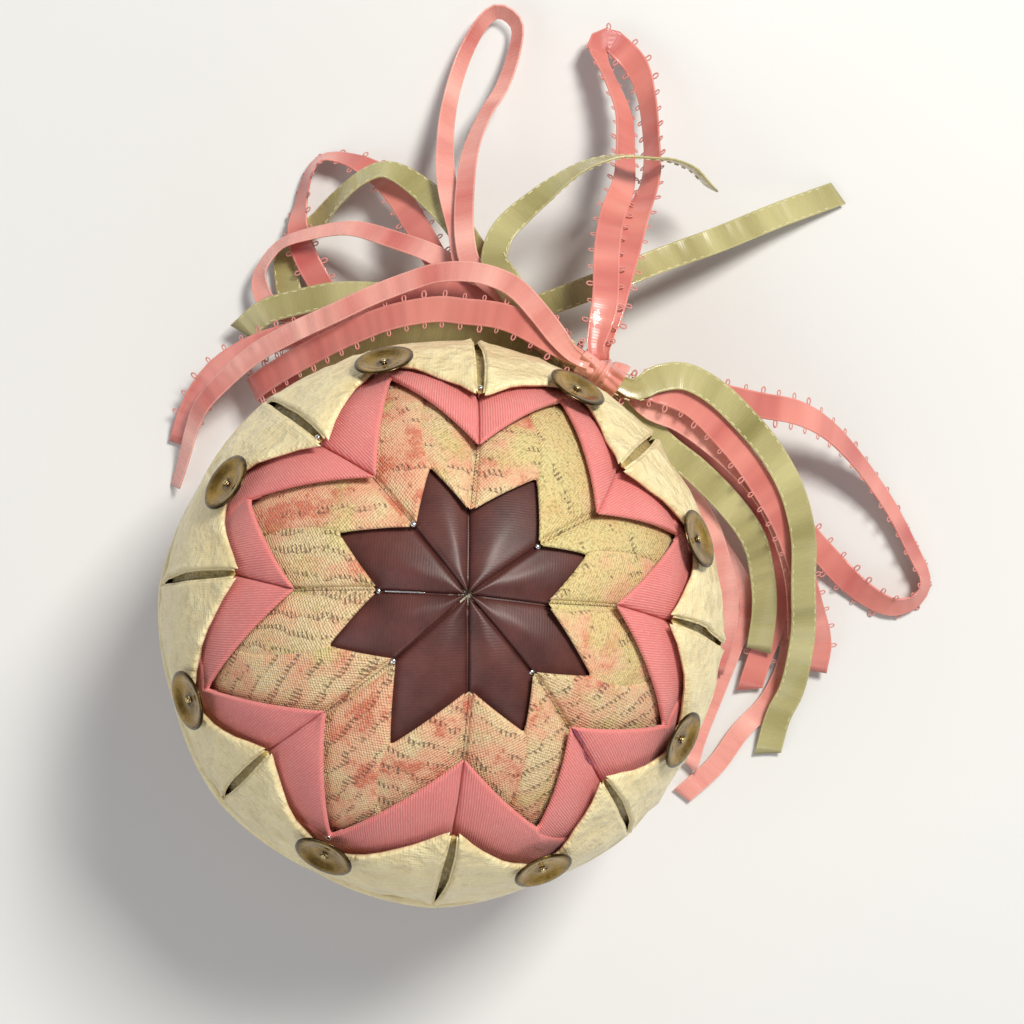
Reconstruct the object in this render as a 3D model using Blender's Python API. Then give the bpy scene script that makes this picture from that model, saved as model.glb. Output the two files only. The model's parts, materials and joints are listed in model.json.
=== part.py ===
# Quilted ball ornament: folded cloth points pinned in rounds over a ball, sequins over the
# joins, a band round the middle and a bunch of narrow satin ribbons tied at its side.
# Sizes are in millimetres and are turned to metres as meshes are made.

import math

import bmesh
import bpy
from mathutils import Matrix, Quaternion, Vector

MM = 0.001

# The ball rests with its star nearly up. Arcs are measured over the ball from the star's centre.
BALL_ARC_RADIUS = 40.0
CENTRE_HEIGHT = 38.8
STAR_TILT = math.radians(10.3)
STAR_TILT_TOWARDS = math.radians(49.0)
FLAT_SPOT_RADIUS = 40.0
FLAT_SPOT_FULL = math.radians(15.0)
FLAT_SPOT_FADE = math.radians(23.0)
COLUMNS_PER_STEP = 3

# The cloth points. Each round lies on the one before it and slopes down to its own outer edge.
CLOTH = 1.0
TUCKS = (4.0, 2.6, 3.0)
SIDE_GAP = 0.3
SIDE_LIFT = 0.06
JOIN_MARGIN = 0.12
INNER_COLUMNS = (0.38, 0.7)
OUTER_COLUMN = 1.5
SLIT_DEPTH = 0.55
SLIT_START = 0.12
SLIT_LEAST = 0.25
SLIT_WIDEST = 0.2
CORE_CLEARANCE = 0.75
CORE_STEP = (0.3, 1.2)
SEAM_ARC = 61.5
CENTRE_HOLE = 1.0

# name, underside radius at its tip, fall to its outer edge, steps in from tip to edge,
# how far a join slants, half width of its slit
ROUNDS = (
    ("star", 38.00, 0.6, 4, 0.0, 0.30),
    ("floral", 39.10, 1.35, 4, 0.5, 0.30),
    ("ribbed", 39.80, 1.2, 4, 0.5, 0.30),
    ("damask", 40.60, 1.3, 5, 0.2, 0.95),
)
STAR, FLORAL, RIBBED, DAMASK = range(4)

# Rings of the ball under each round, as shares of the way from where it lies on the ball alone
# to its outer edge
CORE_RINGS = ((0.2, 0.4, 0.6, 0.8), (0.33, 0.66), (0.5,), (0.25, 0.5, 0.75))

# Where the tips (n, ne, ...) and the joins (nne, ene, ...) lie, going round the star.
# place, azimuths in degrees at the floral, ribbed and damask edges and at the seam, arcs of the
# floral, ribbed and damask edges, and at a join +1 where the piece before it lies over the piece
# after it, -1 where it lies under, for the same three
PLACES = (
    ("e", (-5.5, -2.5, -4.5, -6.5), (10.5, 20.7, 29.8), (0, 0, 0)),
    ("ene", (19.5, 18.0, 15.5, 17.0), (17.8, 36.8, 39.7), (-1, 1, 1)),
    ("ne", (35.0, 32.5, 40.0, 41.0), (11.7, 21.9, 29.4), (0, 0, 0)),
    ("nne", (59.0, 63.0, 61.0, 61.5), (19.5, 36.4, 39.5), (1, -1, -1)),
    ("n", (88.0, 84.5, 84.5, 84.0), (11.2, 21.1, 29.6), (0, 0, 0)),
    ("nnw", (105.0, 106.0, 106.5, 106.5), (18.6, 37.7, 40.7), (-1, 1, 1)),
    ("nw", (127.0, 126.5, 131.0, 130.0), (11.4, 20.4, 29.1), (0, 0, 0)),
    ("wnw", (153.0, 153.5, 152.0, 151.5), (19.5, 35.8, 41.2), (1, 1, -1)),
    ("w", (176.5, 177.0, 172.5, 173.5), (11.8, 23.4, 32.1), (0, 0, 0)),
    ("wsw", (199.5, 198.0, 199.0, 197.0), (19.9, 42.9, 46.6), (-1, -1, 1)),
    ("sw", (221.5, 219.0, 217.5, 219.0), (12.7, 24.6, 35.4), (0, 0, 0)),
    ("ssw", (243.0, 241.0, 242.0, 243.0), (22.9, 42.3, 45.9), (1, -1, -1)),
    ("s", (271.0, 269.5, 268.5, 267.5), (12.4, 21.8, 32.7), (0, 0, 0)),
    ("sse", (293.5, 289.5, 288.5, 289.5), (20.2, 36.5, 45.2), (-1, 1, 1)),
    ("se", (311.0, 309.5, 309.0, 310.5), (13.4, 22.8, 32.6), (0, 0, 0)),
    ("ese", (328.5, 330.0, 329.5, 331.0), (20.6, 37.5, 42.0), (1, 1, -1)),
)
STEPS = len(PLACES)

# The back repeats the rounds evenly: arc at tips and arc at joins, of the floral, ribbed and
# damask edges and of the damask round's shoulder
BACK_EDGES = ((12.0, 19.5), (22.0, 37.5), (33.0, 46.5))
BACK_SHOULDER = (48.0, 53.5)
BACK_FALL = 0.75
BACK_STEP = 0.1

# Band round the middle, as arc and radius of its section
BAND_SECTION = ((61.9, 39.4), (61.9, 40.2), (62.3, 40.6), (63.3, 40.6), (63.7, 40.2), (63.7, 39.4))
BAND_SEAT_RADIUS = 39.0
BAND_SEAT_SPARE = 0.2
BAND_STEPS = 48

# Sequins over the joins of the damask points, this far in from the joins
SEQUIN_INSET = 1.7
SEQUIN_RADIUS = 4.2
SEQUIN_HOLE = 0.6
SEQUIN_THICKNESS = 0.6
SEQUIN_SEAT_RADIUS = 42.05
SEQUIN_SIDES = 16

# Knot of the ribbons, its axis level and square to the ball
KNOT_CENTRE = (23.4, 36.8, 28.0)
KNOT_AXIS_ANGLE = math.radians(147.6)
KNOT_LENGTH = 7.0
KNOT_HEIGHT = 10.4
KNOT_DEPTH = 3.4
KNOT_RIDGE = 0.35
KNOT_DRAWN_IN = 0.25
KNOT_TURNS = 3
KNOT_SIDES = 16
KNOT_RINGS = 12

# Ribbons start at the knot in layers and sink to the surface away from it
RIBBON_THICKNESS = 0.5
LAYER_PITCH = 1.05
LOWEST_LAYER = 0.8
KNOT_LOWEST_LAYER = 19.0
SINK_DISTANCE = 60.0
RIBBON_STEP = 4.5

GREEN_WIDTH = 4.2
PINK_WIDTH = 3.2
PICOT_WIDTH = 4.0

# name, cloth, width, layer going out, layer coming back or None for a tail, the stretch of
# route points over which one becomes the other, and the route seen from above: x, y, and where
# needed how far it is raised over its layer and how it leans in degrees
RIBBONS = (
    ("ribbon_hanging_loop", "pink", PINK_WIDTH, 11, 12, (8, 12),
     ((19, 39.2), (11.5, 48), (7, 51), (3, 53.5), (1.7, 60, -0.8), (0, 67, -2.8, 25),
      (-0.5, 73.5, -5, 45), (0, 81, -7.5, 50), (2, 89, -9, 50), (5, 95, -9.5, 58),
      (8, 97.3, -9.5, 62), (11, 95, -9.5, 58), (10.5, 90, -9, 48), (8.5, 84, -8, 40),
      (6, 79.5, -6.5, 35), (3.7, 73, -4.3, 20), (2.8, 64.5, -1.8), (3, 57.5), (4.5, 53),
      (10, 48), (19, 39.2))),
    ("ribbon_left_tail", "pink", PINK_WIDTH, 17, None, None,
     ((19, 39.2), (14.5, 45), (11, 49), (7.5, 51), (3.5, 52), (-1, 52), (-5, 51), (-11, 49),
      (-17, 46.5), (-23.5, 44, -2), (-30, 41, -5), (-35.5, 37, -8, 10), (-39.5, 33, -10.7, 25),
      (-41.5, 29, -13, 40), (-43, 24.5, -15, 50), (-44.7, 20, -17, 55))),
    ("ribbon_left_picot_tail", "picot", PICOT_WIDTH, 10, None, None,
     ((19, 39.2), (13, 45.5), (8.5, 49), (2, 50.5), (-5, 50), (-11, 48), (-17.5, 45.5),
      (-24, 44), (-30, 42.5, -1.5), (-36, 39.5, -4), (-40, 35.5, -6.5), (-42.5, 31, -8.5),
      (-44, 27, -10.3))),
    ("ribbon_rim_picot_loop", "picot", PICOT_WIDTH, 16, 3, (8, 10),
     ((19, 39.2), (14.5, 42.3), (9, 45), (3, 46), (-1.5, 46.5), (-8.5, 45.5), (-16, 43, -1.5),
      (-23, 40, -4.5), (-29, 37, -8), (-31.5, 35.5, -4), (-29, 36.7), (-23, 39.5), (-16, 42),
      (-8, 43.2), (0, 43.5), (7, 42.8), (13, 41.2), (19, 38.8))),
    ("ribbon_left_green_tail", "green", GREEN_WIDTH, 6, None, None,
     ((19, 39.2), (11.5, 45.5), (5, 48), (-1, 49.5), (-9, 50), (-17.5, 50.5), (-24, 49.5),
      (-29.5, 48, -0.5), (-33.5, 45, -2.5))),
    ("ribbon_rim_green_tail", "green", GREEN_WIDTH, 5, None, None,
     ((19, 39.2), (11.5, 42), (3.5, 43.5), (-4.5, 43.8), (-12.5, 43), (-19, 41), (-24, 37.5))),
    ("ribbon_high_picot_loop", "picot", PICOT_WIDTH, 7, 2, (9, 13),
     ((19, 39.2), (10, 46), (4.5, 49), (-1, 54.5), (-4.5, 60.5, -1), (-8, 66.5, -3.1),
      (-11.5, 70.5, -4.6, 15), (-16, 73, -5.2, 45), (-20.5, 73.5, -5.1, 62), (-22.7, 71, -4.8, 60),
      (-24, 66, -3.8, 48), (-24.5, 62, -1.5, 20), (-23.5, 58), (-21.5, 54), (-19, 50.5),
      (-12.5, 47), (-3, 45), (8.5, 43), (19, 39))),
    ("ribbon_left_loop", "pink", PINK_WIDTH, 8, 4, (6, 9),
     ((19, 39.2), (11.5, 45.5), (5, 50), (-1, 55.5), (-9, 59, -0.5, 15),
      (-15.5, 61, -1.2, 30), (-22, 60.5, -2, 38), (-27, 59, -1.5, 52), (-30, 55.5, -1, 50),
      (-30.5, 52.5, 0, 20), (-28.5, 49),
      (-21, 46.5), (-11, 45), (-1, 44.5), (10, 42.5), (19, 39))),
    ("ribbon_high_green_loop", "green", GREEN_WIDTH, 9, 1, (7, 10),
     ((19, 39.2), (11, 46.5), (8.5, 50), (6, 53.5), (1, 61.5, -1), (-4.5, 67.5, -3, 20),
      (-9.5, 70.5, -2.6, 35), (-13.5, 69.5, -2.6, 38), (-18, 66.5, -3.1, 35), (-21.5, 63, -2.8, 25),
      (-24.5, 60.5, -0.9), (-26.5, 57.5), (-26.5, 54.5), (-25.5, 50.5), (-21, 44), (-12.5, 39.5),
      (-3, 39.5), (8.5, 39.5), (19, 38.5))),
    ("ribbon_green_curl", "green", GREEN_WIDTH, 13, None, None,
     ((19, 39.2), (12, 47), (9, 51.5), (7.5, 54), (8.5, 58), (11, 61), (15, 64.5, 0, -15),
      (17.5, 66.5, 0.5, -30), (21.5, 69, 1, -42), (26.5, 70.5, 1, -50), (31, 70.5, 0, -52),
      (35, 70.5, -2, -55), (38.5, 69.5, -4.5, -58), (41.5, 67, -7.5, -60))),
    ("ribbon_green_straight", "green", GREEN_WIDTH, 0, None, None,
     ((18.8, 38.5), (13, 39.5), (8.5, 42), (6, 44.5), (8.5, 46.5), (11.5, 47), (14.5, 48),
      (24, 51.5), (33.5, 55.5), (43.5, 59.5), (53.5, 64), (63.5, 68, -0.8))),
    ("ribbon_top_picot_loop", "picot", PICOT_WIDTH, 15, 14, (8, 12),
     ((22.6, 40.6), (24, 47), (24.5, 55, -2), (25.5, 61, -4.5, 10), (27.5, 67, -7.5, 25),
      (28, 72.5, -9.5, 38), (28, 79.5, -11, 42), (26, 85.5, -12, 52), (24.5, 89, -12.5, 48),
      (24, 91.5, -12.7, 20), (26, 92.5, -12.7, 0), (28, 91, -12.6, 0), (30.5, 88, -12.2, 30),
      (32, 83, -11.6, 55), (32.5, 75, -10, 62), (32, 68, -7.7, 52), (29.5, 61.5, -5, 22),
      (27.5, 55, -2.2), (25.5, 48), (23.6, 40.9))),
    ("ribbon_right_green_tail", "green", GREEN_WIDTH, 9, None, None,
     ((29, 34.4), (32, 36), (36.5, 36.5), (41.5, 34), (46.5, 29.5), (50.5, 25), (54, 19),
      (56, 12), (56.5, 4.5, -1.5), (57, -2.5, -3.5), (56.5, -8, -5), (55.5, -13, -6.5),
      (53.5, -17.5, -8), (52, -23.5, -9.3))),
    ("ribbon_right_picot_tail", "picot", PICOT_WIDTH, 8, None, None,
     ((28.6, 34.6), (32, 34.5), (37.5, 32.5), (42.5, 28), (47, 23), (52.5, 15, -0.3), (56, 7.5, -2),
      (58, 1.5, -3.1), (60, -5, -5.5), (59.5, -10, -7))),
    ("ribbon_right_tail", "pink", PINK_WIDTH, 6, None, None,
     ((27.8, 34.3), (31.5, 31.5), (36.5, 29.5), (43.5, 24.5), (49, 19), (52.5, 13),
      (55, 6.5, -1.2), (56, 1, -2.6), (56.5, -5, -4.6))),
    ("ribbon_inner_picot_tail", "picot", PICOT_WIDTH, 4, None, None,
     ((27.8, 34.3), (32.5, 28.5), (40, 24), (46, 18), (50.5, 11.5), (53, 4, -2.6),
      (52.5, -2.5, -3), (50.5, -8, -3.6), (49, -13, -3.9))),
    ("ribbon_inner_green_tail", "green", GREEN_WIDTH, 5, None, None,
     ((27.8, 34.3), (32.8, 27), (38.8, 22.3), (44.6, 16.8), (48.5, 11.5), (50.3, 5.5, -1.8),
      (50.8, 0, -2.3), (50.2, -6.5, -3.3))),
    ("ribbon_inner_tail", "pink", PINK_WIDTH, 3, None, None,
     ((27.8, 34.3), (31.5, 27.5), (36.5, 21), (41, 14.5), (43.5, 8), (45, 1.5, -0.5),
      (44.5, -5, -1), (43, -10, -1.4))),
    ("ribbon_right_picot_loop", "picot", PICOT_WIDTH, 7, 0, (8, 13),
     ((28.6, 34.6), (33, 35), (40.5, 34), (48.5, 32.5), (55, 31.5, -1, -10), (60.5, 29, -3, -25),
      (66, 24, -5, -35), (71.5, 17, -6.5, -42), (75.5, 9.5, -6.3, -52), (77.5, 5, -4.6, -60),
      (76.5, 2, -2.9, -60), (73.5, 0.5, -1.2, -48), (70.5, 1, 0, -38), (66, 4, 0.6, -25), (61, 9),
      (56, 14), (50, 18.5), (43, 24),
      (36.5, 28.5), (30.5, 31.5), (27.8, 33.8))),
    ("ribbon_rim_tail", "pink", PINK_WIDTH, 2, None, None,
     ((27.8, 34.3), (32.5, 24.5), (40, 14.5), (46, 6.5, -0.6), (48.5, 1, -1.5),
      (46.5, -5, -1.7), (43.5, -13, -1.6), (40.5, -20.5, -1.2), (39, -25.5, -1.1))),
    ("ribbon_low_tail", "pink", PINK_WIDTH, 1, None, None,
     ((27.8, 34.3), (33.5, 27), (43, 19.5), (51, 10), (55.5, 1, -0.9), (55.5, -7, -1),
      (52.5, -14.5, -1), (47.5, -20, -1), (43.5, -25.5, -1), (38, -30.5, -1))),
)

# finish, colour, roughness, metallic
FINISHES = {
    "ball": ((0.86, 0.74, 0.48), 0.55, 0.0),
    "star": ((0.16, 0.05, 0.05), 0.45, 0.0),
    "floral": ((0.84, 0.62, 0.38), 0.7, 0.0),
    "ribbed": ((0.78, 0.25, 0.25), 0.6, 0.0),
    "damask": ((0.88, 0.75, 0.46), 0.5, 0.0),
    "band": ((0.9, 0.8, 0.55), 0.55, 0.0),
    "sequin": ((0.45, 0.3, 0.1), 0.25, 0.6),
    "knot": ((0.82, 0.36, 0.34), 0.4, 0.0),
    "pink": ((0.9, 0.42, 0.4), 0.35, 0.0),
    "picot": ((0.86, 0.35, 0.33), 0.35, 0.0),
    "green": ((0.55, 0.5, 0.24), 0.35, 0.0),
}


def finish(name):
    """Return the Principled material of one cloth, made once."""
    material = bpy.data.materials.get(name)
    if material is None:
        colour, roughness, metallic = FINISHES[name]
        material = bpy.data.materials.new(name)
        material.use_nodes = True
        shader = material.node_tree.nodes["Principled BSDF"]
        shader.inputs["Base Color"].default_value = (*colour, 1.0)
        shader.inputs["Roughness"].default_value = roughness
        shader.inputs["Metallic"].default_value = metallic
    return material


def add_object(name, bm, finish_name, parent=None):
    """Turn a bmesh in millimetres into a named object of triangles."""
    bmesh.ops.recalc_face_normals(bm, faces=bm.faces)
    if bm.calc_volume(signed=True) < 0:
        bmesh.ops.reverse_faces(bm, faces=bm.faces)
    bmesh.ops.triangulate(bm, faces=bm.faces)
    bm.transform(Matrix.Scale(MM, 4))
    mesh = bpy.data.meshes.new(name)
    bm.to_mesh(mesh)
    bm.free()
    mesh.materials.append(finish(finish_name))
    obj = bpy.data.objects.new(name, mesh)
    bpy.context.collection.objects.link(obj)
    obj.parent = parent
    return obj


# Places on the ball

def on_ball(chart_point, radius):
    """Lay a point of the flat chart round the star's centre on the ball at a radius."""
    arc = chart_point.length
    angle = arc / BALL_ARC_RADIUS
    side = chart_point.normalized() if arc > 0 else Vector((1, 0))
    level = radius * math.sin(angle)
    return Vector((side.x * level, side.y * level, radius * math.cos(angle)))


def polar(arc, azimuth):
    return Vector((arc * math.cos(azimuth), arc * math.sin(azimuth)))


def corner(edge, index):
    """Chart point of one tip or join on an edge: star hole, floral, ribbed, damask or seam."""
    place = PLACES[index % STEPS]
    if edge == STAR:
        arc = CENTRE_HOLE
    elif edge > DAMASK:
        arc = SEAM_ARC
    else:
        arc = place[2][edge - 1]
    return polar(arc, math.radians(place[1][max(0, edge - 1)]))


def edge_point(edge, step):
    """Point of an edge, which runs straight from tip to join on the chart."""
    index = math.floor(step)
    point = corner(edge, index).lerp(corner(edge, index + 1), step - index)
    if edge > DAMASK:
        point = point.normalized() * SEAM_ARC
    return point


def pushed_out(point, distance):
    return point * (1 + distance / point.length)


def outer_point(edge, step):
    """Hidden outer end of a round, tucked under the next one."""
    if edge == DAMASK:
        return edge_point(DAMASK + 1, step)
    return pushed_out(edge_point(edge + 1, step), TUCKS[edge])


def underside(edge, along):
    _, radius, fall, *_ = ROUNDS[edge]
    return radius - fall * along


# Closed forms

def loft_rings(rings, start=None, end=None):
    """Join closed rings of points into a body, ended by a point or a flat face."""
    bm = bmesh.new()
    loops = [[bm.verts.new(point) for point in ring] for ring in rings]
    count = len(loops[0])
    for lower, upper in zip(loops, loops[1:]):
        for i in range(count):
            j = (i + 1) % count
            bm.faces.new((lower[i], lower[j], upper[j], upper[i]))
    for loop, point in ((loops[0], start), (loops[-1], end)):
        if point is None:
            bm.faces.new(loop)
            continue
        pole = bm.verts.new(point)
        for i in range(count):
            bm.faces.new((loop[i], loop[(i + 1) % count], pole))
    return bm


def thick_sheet(top, bottom):
    """Close two grids of points into one sheet."""
    bm = bmesh.new()
    layers = [[[bm.verts.new(point) for point in row] for row in grid] for grid in (top, bottom)]
    rows, columns = len(top), len(top[0])
    for layer in layers:
        for i in range(rows - 1):
            for j in range(columns - 1):
                bm.faces.new((layer[i][j], layer[i][j + 1], layer[i + 1][j + 1], layer[i + 1][j]))
    rim = [(0, j) for j in range(columns)]
    rim += [(i, columns - 1) for i in range(1, rows)]
    rim += [(rows - 1, j) for j in range(columns - 2, -1, -1)]
    rim += [(i, 0) for i in range(rows - 2, 0, -1)]
    for (i, j), (k, m) in zip(rim, rim[1:] + rim[:1]):
        bm.faces.new((layers[0][i][j], layers[0][k][m], layers[1][k][m], layers[1][i][j]))
    return bm


# The ball itself: plain under the front points, quilted on the back, with a flat spot

def front_core_rings(steps):
    rings = []
    for along in CORE_RINGS[STAR]:
        rings.append([on_ball(edge_point(STAR, step).lerp(outer_point(STAR, step), along),
                              underside(STAR, along) - CORE_CLEARANCE) for step in steps])
    for edge in (FLORAL, RIBBED, DAMASK):
        rings.append([on_ball(pushed_out(outer_point(edge - 1, step), CORE_STEP[0]),
                              underside(edge - 1, 1.0) - CORE_CLEARANCE) for step in steps])
        for share in (0.0, *CORE_RINGS[edge]):
            ring = []
            for step in steps:
                start, end = edge_point(edge, step), outer_point(edge, step)
                spot = pushed_out(outer_point(edge - 1, step), CORE_STEP[1]).lerp(end, share)
                along = (spot.length - start.length) / (end.length - start.length)
                ring.append(on_ball(spot, underside(edge, along) - CORE_CLEARANCE))
            rings.append(ring)
    rings.append([on_ball(edge_point(DAMASK + 1, step), underside(DAMASK, 1.0) - CORE_CLEARANCE)
                  for step in steps])
    return rings


def back_ring(steps, tip_arc, join_arc, radius, down):
    """Ring of the quilted back, evened out where the ball stands."""
    ring = []
    for step in steps:
        share = abs((step + 1) % 2 - 1)
        arc = join_arc + (tip_arc - join_arc) * share
        point = on_ball(polar(arc, math.radians(360 * step / STEPS)), radius)
        point.z = -point.z
        off_down = point.angle(down)
        blend = min(1.0, max(0.0, (FLAT_SPOT_FADE - off_down) / (FLAT_SPOT_FADE - FLAT_SPOT_FULL)))
        ring.append(point.normalized() * (radius + (FLAT_SPOT_RADIUS - radius) * blend))
    return ring


def make_ball(hub):
    steps = [i / COLUMNS_PER_STEP for i in range(STEPS * COLUMNS_PER_STEP)]
    down = hub.rotation_quaternion.inverted() @ Vector((0, 0, -1))
    rings = front_core_rings(steps)
    azimuths = [math.radians(360 * step / STEPS) for step in steps]
    for arc in (BAND_SECTION[0][0] - BAND_SEAT_SPARE, BAND_SECTION[-1][0] + BAND_SEAT_SPARE):
        rings.append([on_ball(polar(arc, azimuth), BAND_SEAT_RADIUS) for azimuth in azimuths])
    half_way = math.pi * BALL_ARC_RADIUS
    back_start = half_way - BAND_SECTION[-1][0] - 2 * BAND_SEAT_SPARE
    top = [underside(edge, 0.0) + CLOTH for edge in range(len(ROUNDS))]
    low = [underside(edge, BACK_FALL) + CLOTH for edge in range(len(ROUNDS))]
    tip_arcs = [arc for arc, _ in BACK_EDGES]
    join_arcs = [arc for _, arc in BACK_EDGES]
    back = [(back_start, back_start, underside(DAMASK, 1.0) + CLOTH)]
    back.append((*BACK_SHOULDER, underside(DAMASK, 0.5) + CLOTH))
    for edge in (DAMASK, RIBBED, FLORAL):
        tip, join = tip_arcs[edge - 1], join_arcs[edge - 1]
        back.append((tip, join, top[edge]))
        back.append((tip - BACK_STEP, join - BACK_STEP, low[edge - 1]))
        inner_tip, inner_join = (tip_arcs[edge - 2], join_arcs[edge - 2]) if edge > FLORAL else (0, 0)
        middle = (top[edge - 1] + low[edge - 1]) / 2
        back.append(((tip + inner_tip) / 2, (join + inner_join) / 2, middle))
    rings += [back_ring(steps, tip, join, radius, down) for tip, join, radius in back]
    front_pole = Vector((0, 0, underside(STAR, 0.0) - CORE_CLEARANCE))
    bm = loft_rings(rings, start=front_pole, end=Vector((0, 0, -FLAT_SPOT_RADIUS)))
    cut = bmesh.ops.bisect_plane(bm, geom=bm.verts[:] + bm.edges[:] + bm.faces[:], dist=0.0001,
                                 plane_co=down * CENTRE_HEIGHT, plane_no=down, clear_outer=True)
    rim = [item for item in cut["geom_cut"] if isinstance(item, bmesh.types.BMEdge)]
    bmesh.ops.contextual_create(bm, geom=rim)
    add_object("ball_body", bm, "ball", hub)


# Folded points

def steps_across(slit, left, right):
    """Steps from the middle of a point at which its grid has columns; edges bend at 1."""
    columns = [0.0]
    for side, limit in ((-1, left), (1, right)):
        bend = min(1.0, limit - JOIN_MARGIN)
        outer = (OUTER_COLUMN,) if limit > OUTER_COLUMN + JOIN_MARGIN else ()
        inner = [bend * share for share in INNER_COLUMNS]
        half = [side * step for step in (slit, *inner, bend, *outer, limit)]
        columns = half[::-1] + columns if side < 0 else columns + half
    return columns


def lies_over(edge, index, side):
    """+1 where the piece at a tip lies over its neighbour on a side, -1 under, 0 beside."""
    if edge == STAR:
        return 0
    return PLACES[(index + side) % STEPS][3][edge - 1] * side


def make_point(name, edge, index, reach, hub):
    """One folded point: two flaps that meet at a slit, tip to the star's centre."""
    _, _, _, rows, slant, slit_half = ROUNDS[edge]
    top, bottom = [], []
    for row in range(rows + 1):
        along = row / rows
        opening = math.sin(math.pi * min(1.0, SLIT_START + along)) if edge == DAMASK else 1.0
        middle = edge_point(edge, index).lerp(outer_point(edge, index), along)
        half_width = reach * 2 * math.pi / STEPS * middle.length
        slit = reach * min(SLIT_WIDEST, slit_half * max(opening, SLIT_LEAST) / half_width)
        inset = SIDE_GAP * STEPS / (2 * math.pi * middle.length)
        limits = {side: reach + slant * along * lies_over(edge, index, side) - inset
                  for side in (-1, 1)}
        top_row, bottom_row = [], []
        for across in steps_across(slit, limits[-1], limits[1]):
            side = 1 if across >= 0 else -1
            share = across / limits[side]
            lift = SIDE_LIFT * lies_over(edge, index, side) * share * share * (1 - along)
            radius = underside(edge, along) + lift
            groove = SLIT_DEPTH if across == 0 else 0.0
            spot = edge_point(edge, index + across).lerp(outer_point(edge, index + across), along)
            top_row.append(on_ball(spot, radius + CLOTH - groove))
            bottom_row.append(on_ball(spot, radius))
        top.append(top_row)
        bottom.append(bottom_row)
    add_object(name, thick_sheet(top, bottom), ROUNDS[edge][0], hub)


def make_points(hub):
    for edge, (name, *_) in enumerate(ROUNDS):
        reach = 2 if edge == STAR else 1
        for index in range(0, STEPS, 2 * reach):
            make_point(f"{name}_point_{PLACES[index][0]}", edge, index, reach, hub)


# Band, sequins and knot

def make_band(hub):
    rings = []
    for i in range(BAND_STEPS):
        azimuth = 2 * math.pi * i / BAND_STEPS
        rings.append([on_ball(polar(arc, azimuth), radius) for arc, radius in BAND_SECTION])
    bm = bmesh.new()
    loops = [[bm.verts.new(point) for point in ring] for ring in rings]
    sides = len(BAND_SECTION)
    for loop, after in zip(loops, loops[1:] + loops[:1]):
        for i in range(sides):
            j = (i + 1) % sides
            bm.faces.new((loop[i], loop[j], after[j], after[i]))
    add_object("middle_band", bm, "band", hub)


def sequin_mesh():
    outline = ((SEQUIN_HOLE, 0), (SEQUIN_HOLE, 1), (SEQUIN_RADIUS, 1), (SEQUIN_RADIUS, 0))
    bm = bmesh.new()
    loops = []
    for i in range(SEQUIN_SIDES):
        angle = 2 * math.pi * i / SEQUIN_SIDES
        loops.append([bm.verts.new((radius * math.cos(angle), radius * math.sin(angle),
                                    level * SEQUIN_THICKNESS)) for radius, level in outline])
    for loop, after in zip(loops, loops[1:] + loops[:1]):
        for i in range(4):
            j = (i + 1) % 4
            bm.faces.new((loop[i], loop[j], after[j], after[i]))
    return bm


def make_sequins(hub):
    for index in range(1, STEPS, 2):
        seat = on_ball(pushed_out(corner(DAMASK, index), -SEQUIN_INSET), SEQUIN_SEAT_RADIUS)
        sequin = add_object(f"sequin_{PLACES[index][0]}", sequin_mesh(), "sequin", hub)
        sequin.location = seat * MM
        sequin.rotation_mode = "QUATERNION"
        sequin.rotation_quaternion = Vector((0, 0, 1)).rotation_difference(seat)


def make_knot():
    """Turns of ribbon round the bunch, drawn in between them and at both ends."""
    rings = []
    for ring in range(KNOT_RINGS + 1):
        along = ring / KNOT_RINGS
        ridge = KNOT_RIDGE * abs(math.sin(math.pi * KNOT_TURNS * along))
        swell = 1 - KNOT_DRAWN_IN * (2 * along - 1) ** 4
        points = []
        for side in range(KNOT_SIDES):
            angle = 2 * math.pi * side / KNOT_SIDES
            depth = ((KNOT_DEPTH - KNOT_RIDGE) * swell + ridge) * math.cos(angle)
            height = ((KNOT_HEIGHT - KNOT_RIDGE) * swell + ridge) * math.sin(angle)
            points.append(Vector(((along - 0.5) * KNOT_LENGTH, depth, height)))
        rings.append(points)
    knot = add_object("bow_knot", loft_rings(rings), "knot")
    knot.location = Vector(KNOT_CENTRE) * MM
    knot.rotation_euler.z = KNOT_AXIS_ANGLE


# Ribbons

def layer_height(layer, x, y):
    """Height of a ribbon's middle: held up at the knot, near the surface far from it."""
    distance = math.hypot(x - KNOT_CENTRE[0], y - KNOT_CENTRE[1])
    held = 0.5 * (1 + math.cos(math.pi * min(1.0, distance / SINK_DISTANCE)))
    return LOWEST_LAYER + (KNOT_LOWEST_LAYER - LOWEST_LAYER) * held + LAYER_PITCH * layer


def layer_normal(x, y):
    """Way up out of the sloping layers, which a ribbon lies flat on."""
    here = layer_height(0, x, y)
    return Vector((here - layer_height(0, x + 1, y), here - layer_height(0, x, y + 1), 1.0))


def ribbon_route(out, back, turn, plan):
    """Route points in space, with how the ribbon leans at each."""
    route = []
    for index, row in enumerate(plan):
        x, y, raised, lean = (*row, 0, 0)[:4]
        layer = out
        if back is not None:
            share = min(1.0, max(0.0, (index - turn[0]) / (turn[1] - turn[0])))
            layer = out + (back - out) * share
        route.append((Vector((x, y, layer_height(layer, x, y) + raised)), math.radians(lean)))
    return route


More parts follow.
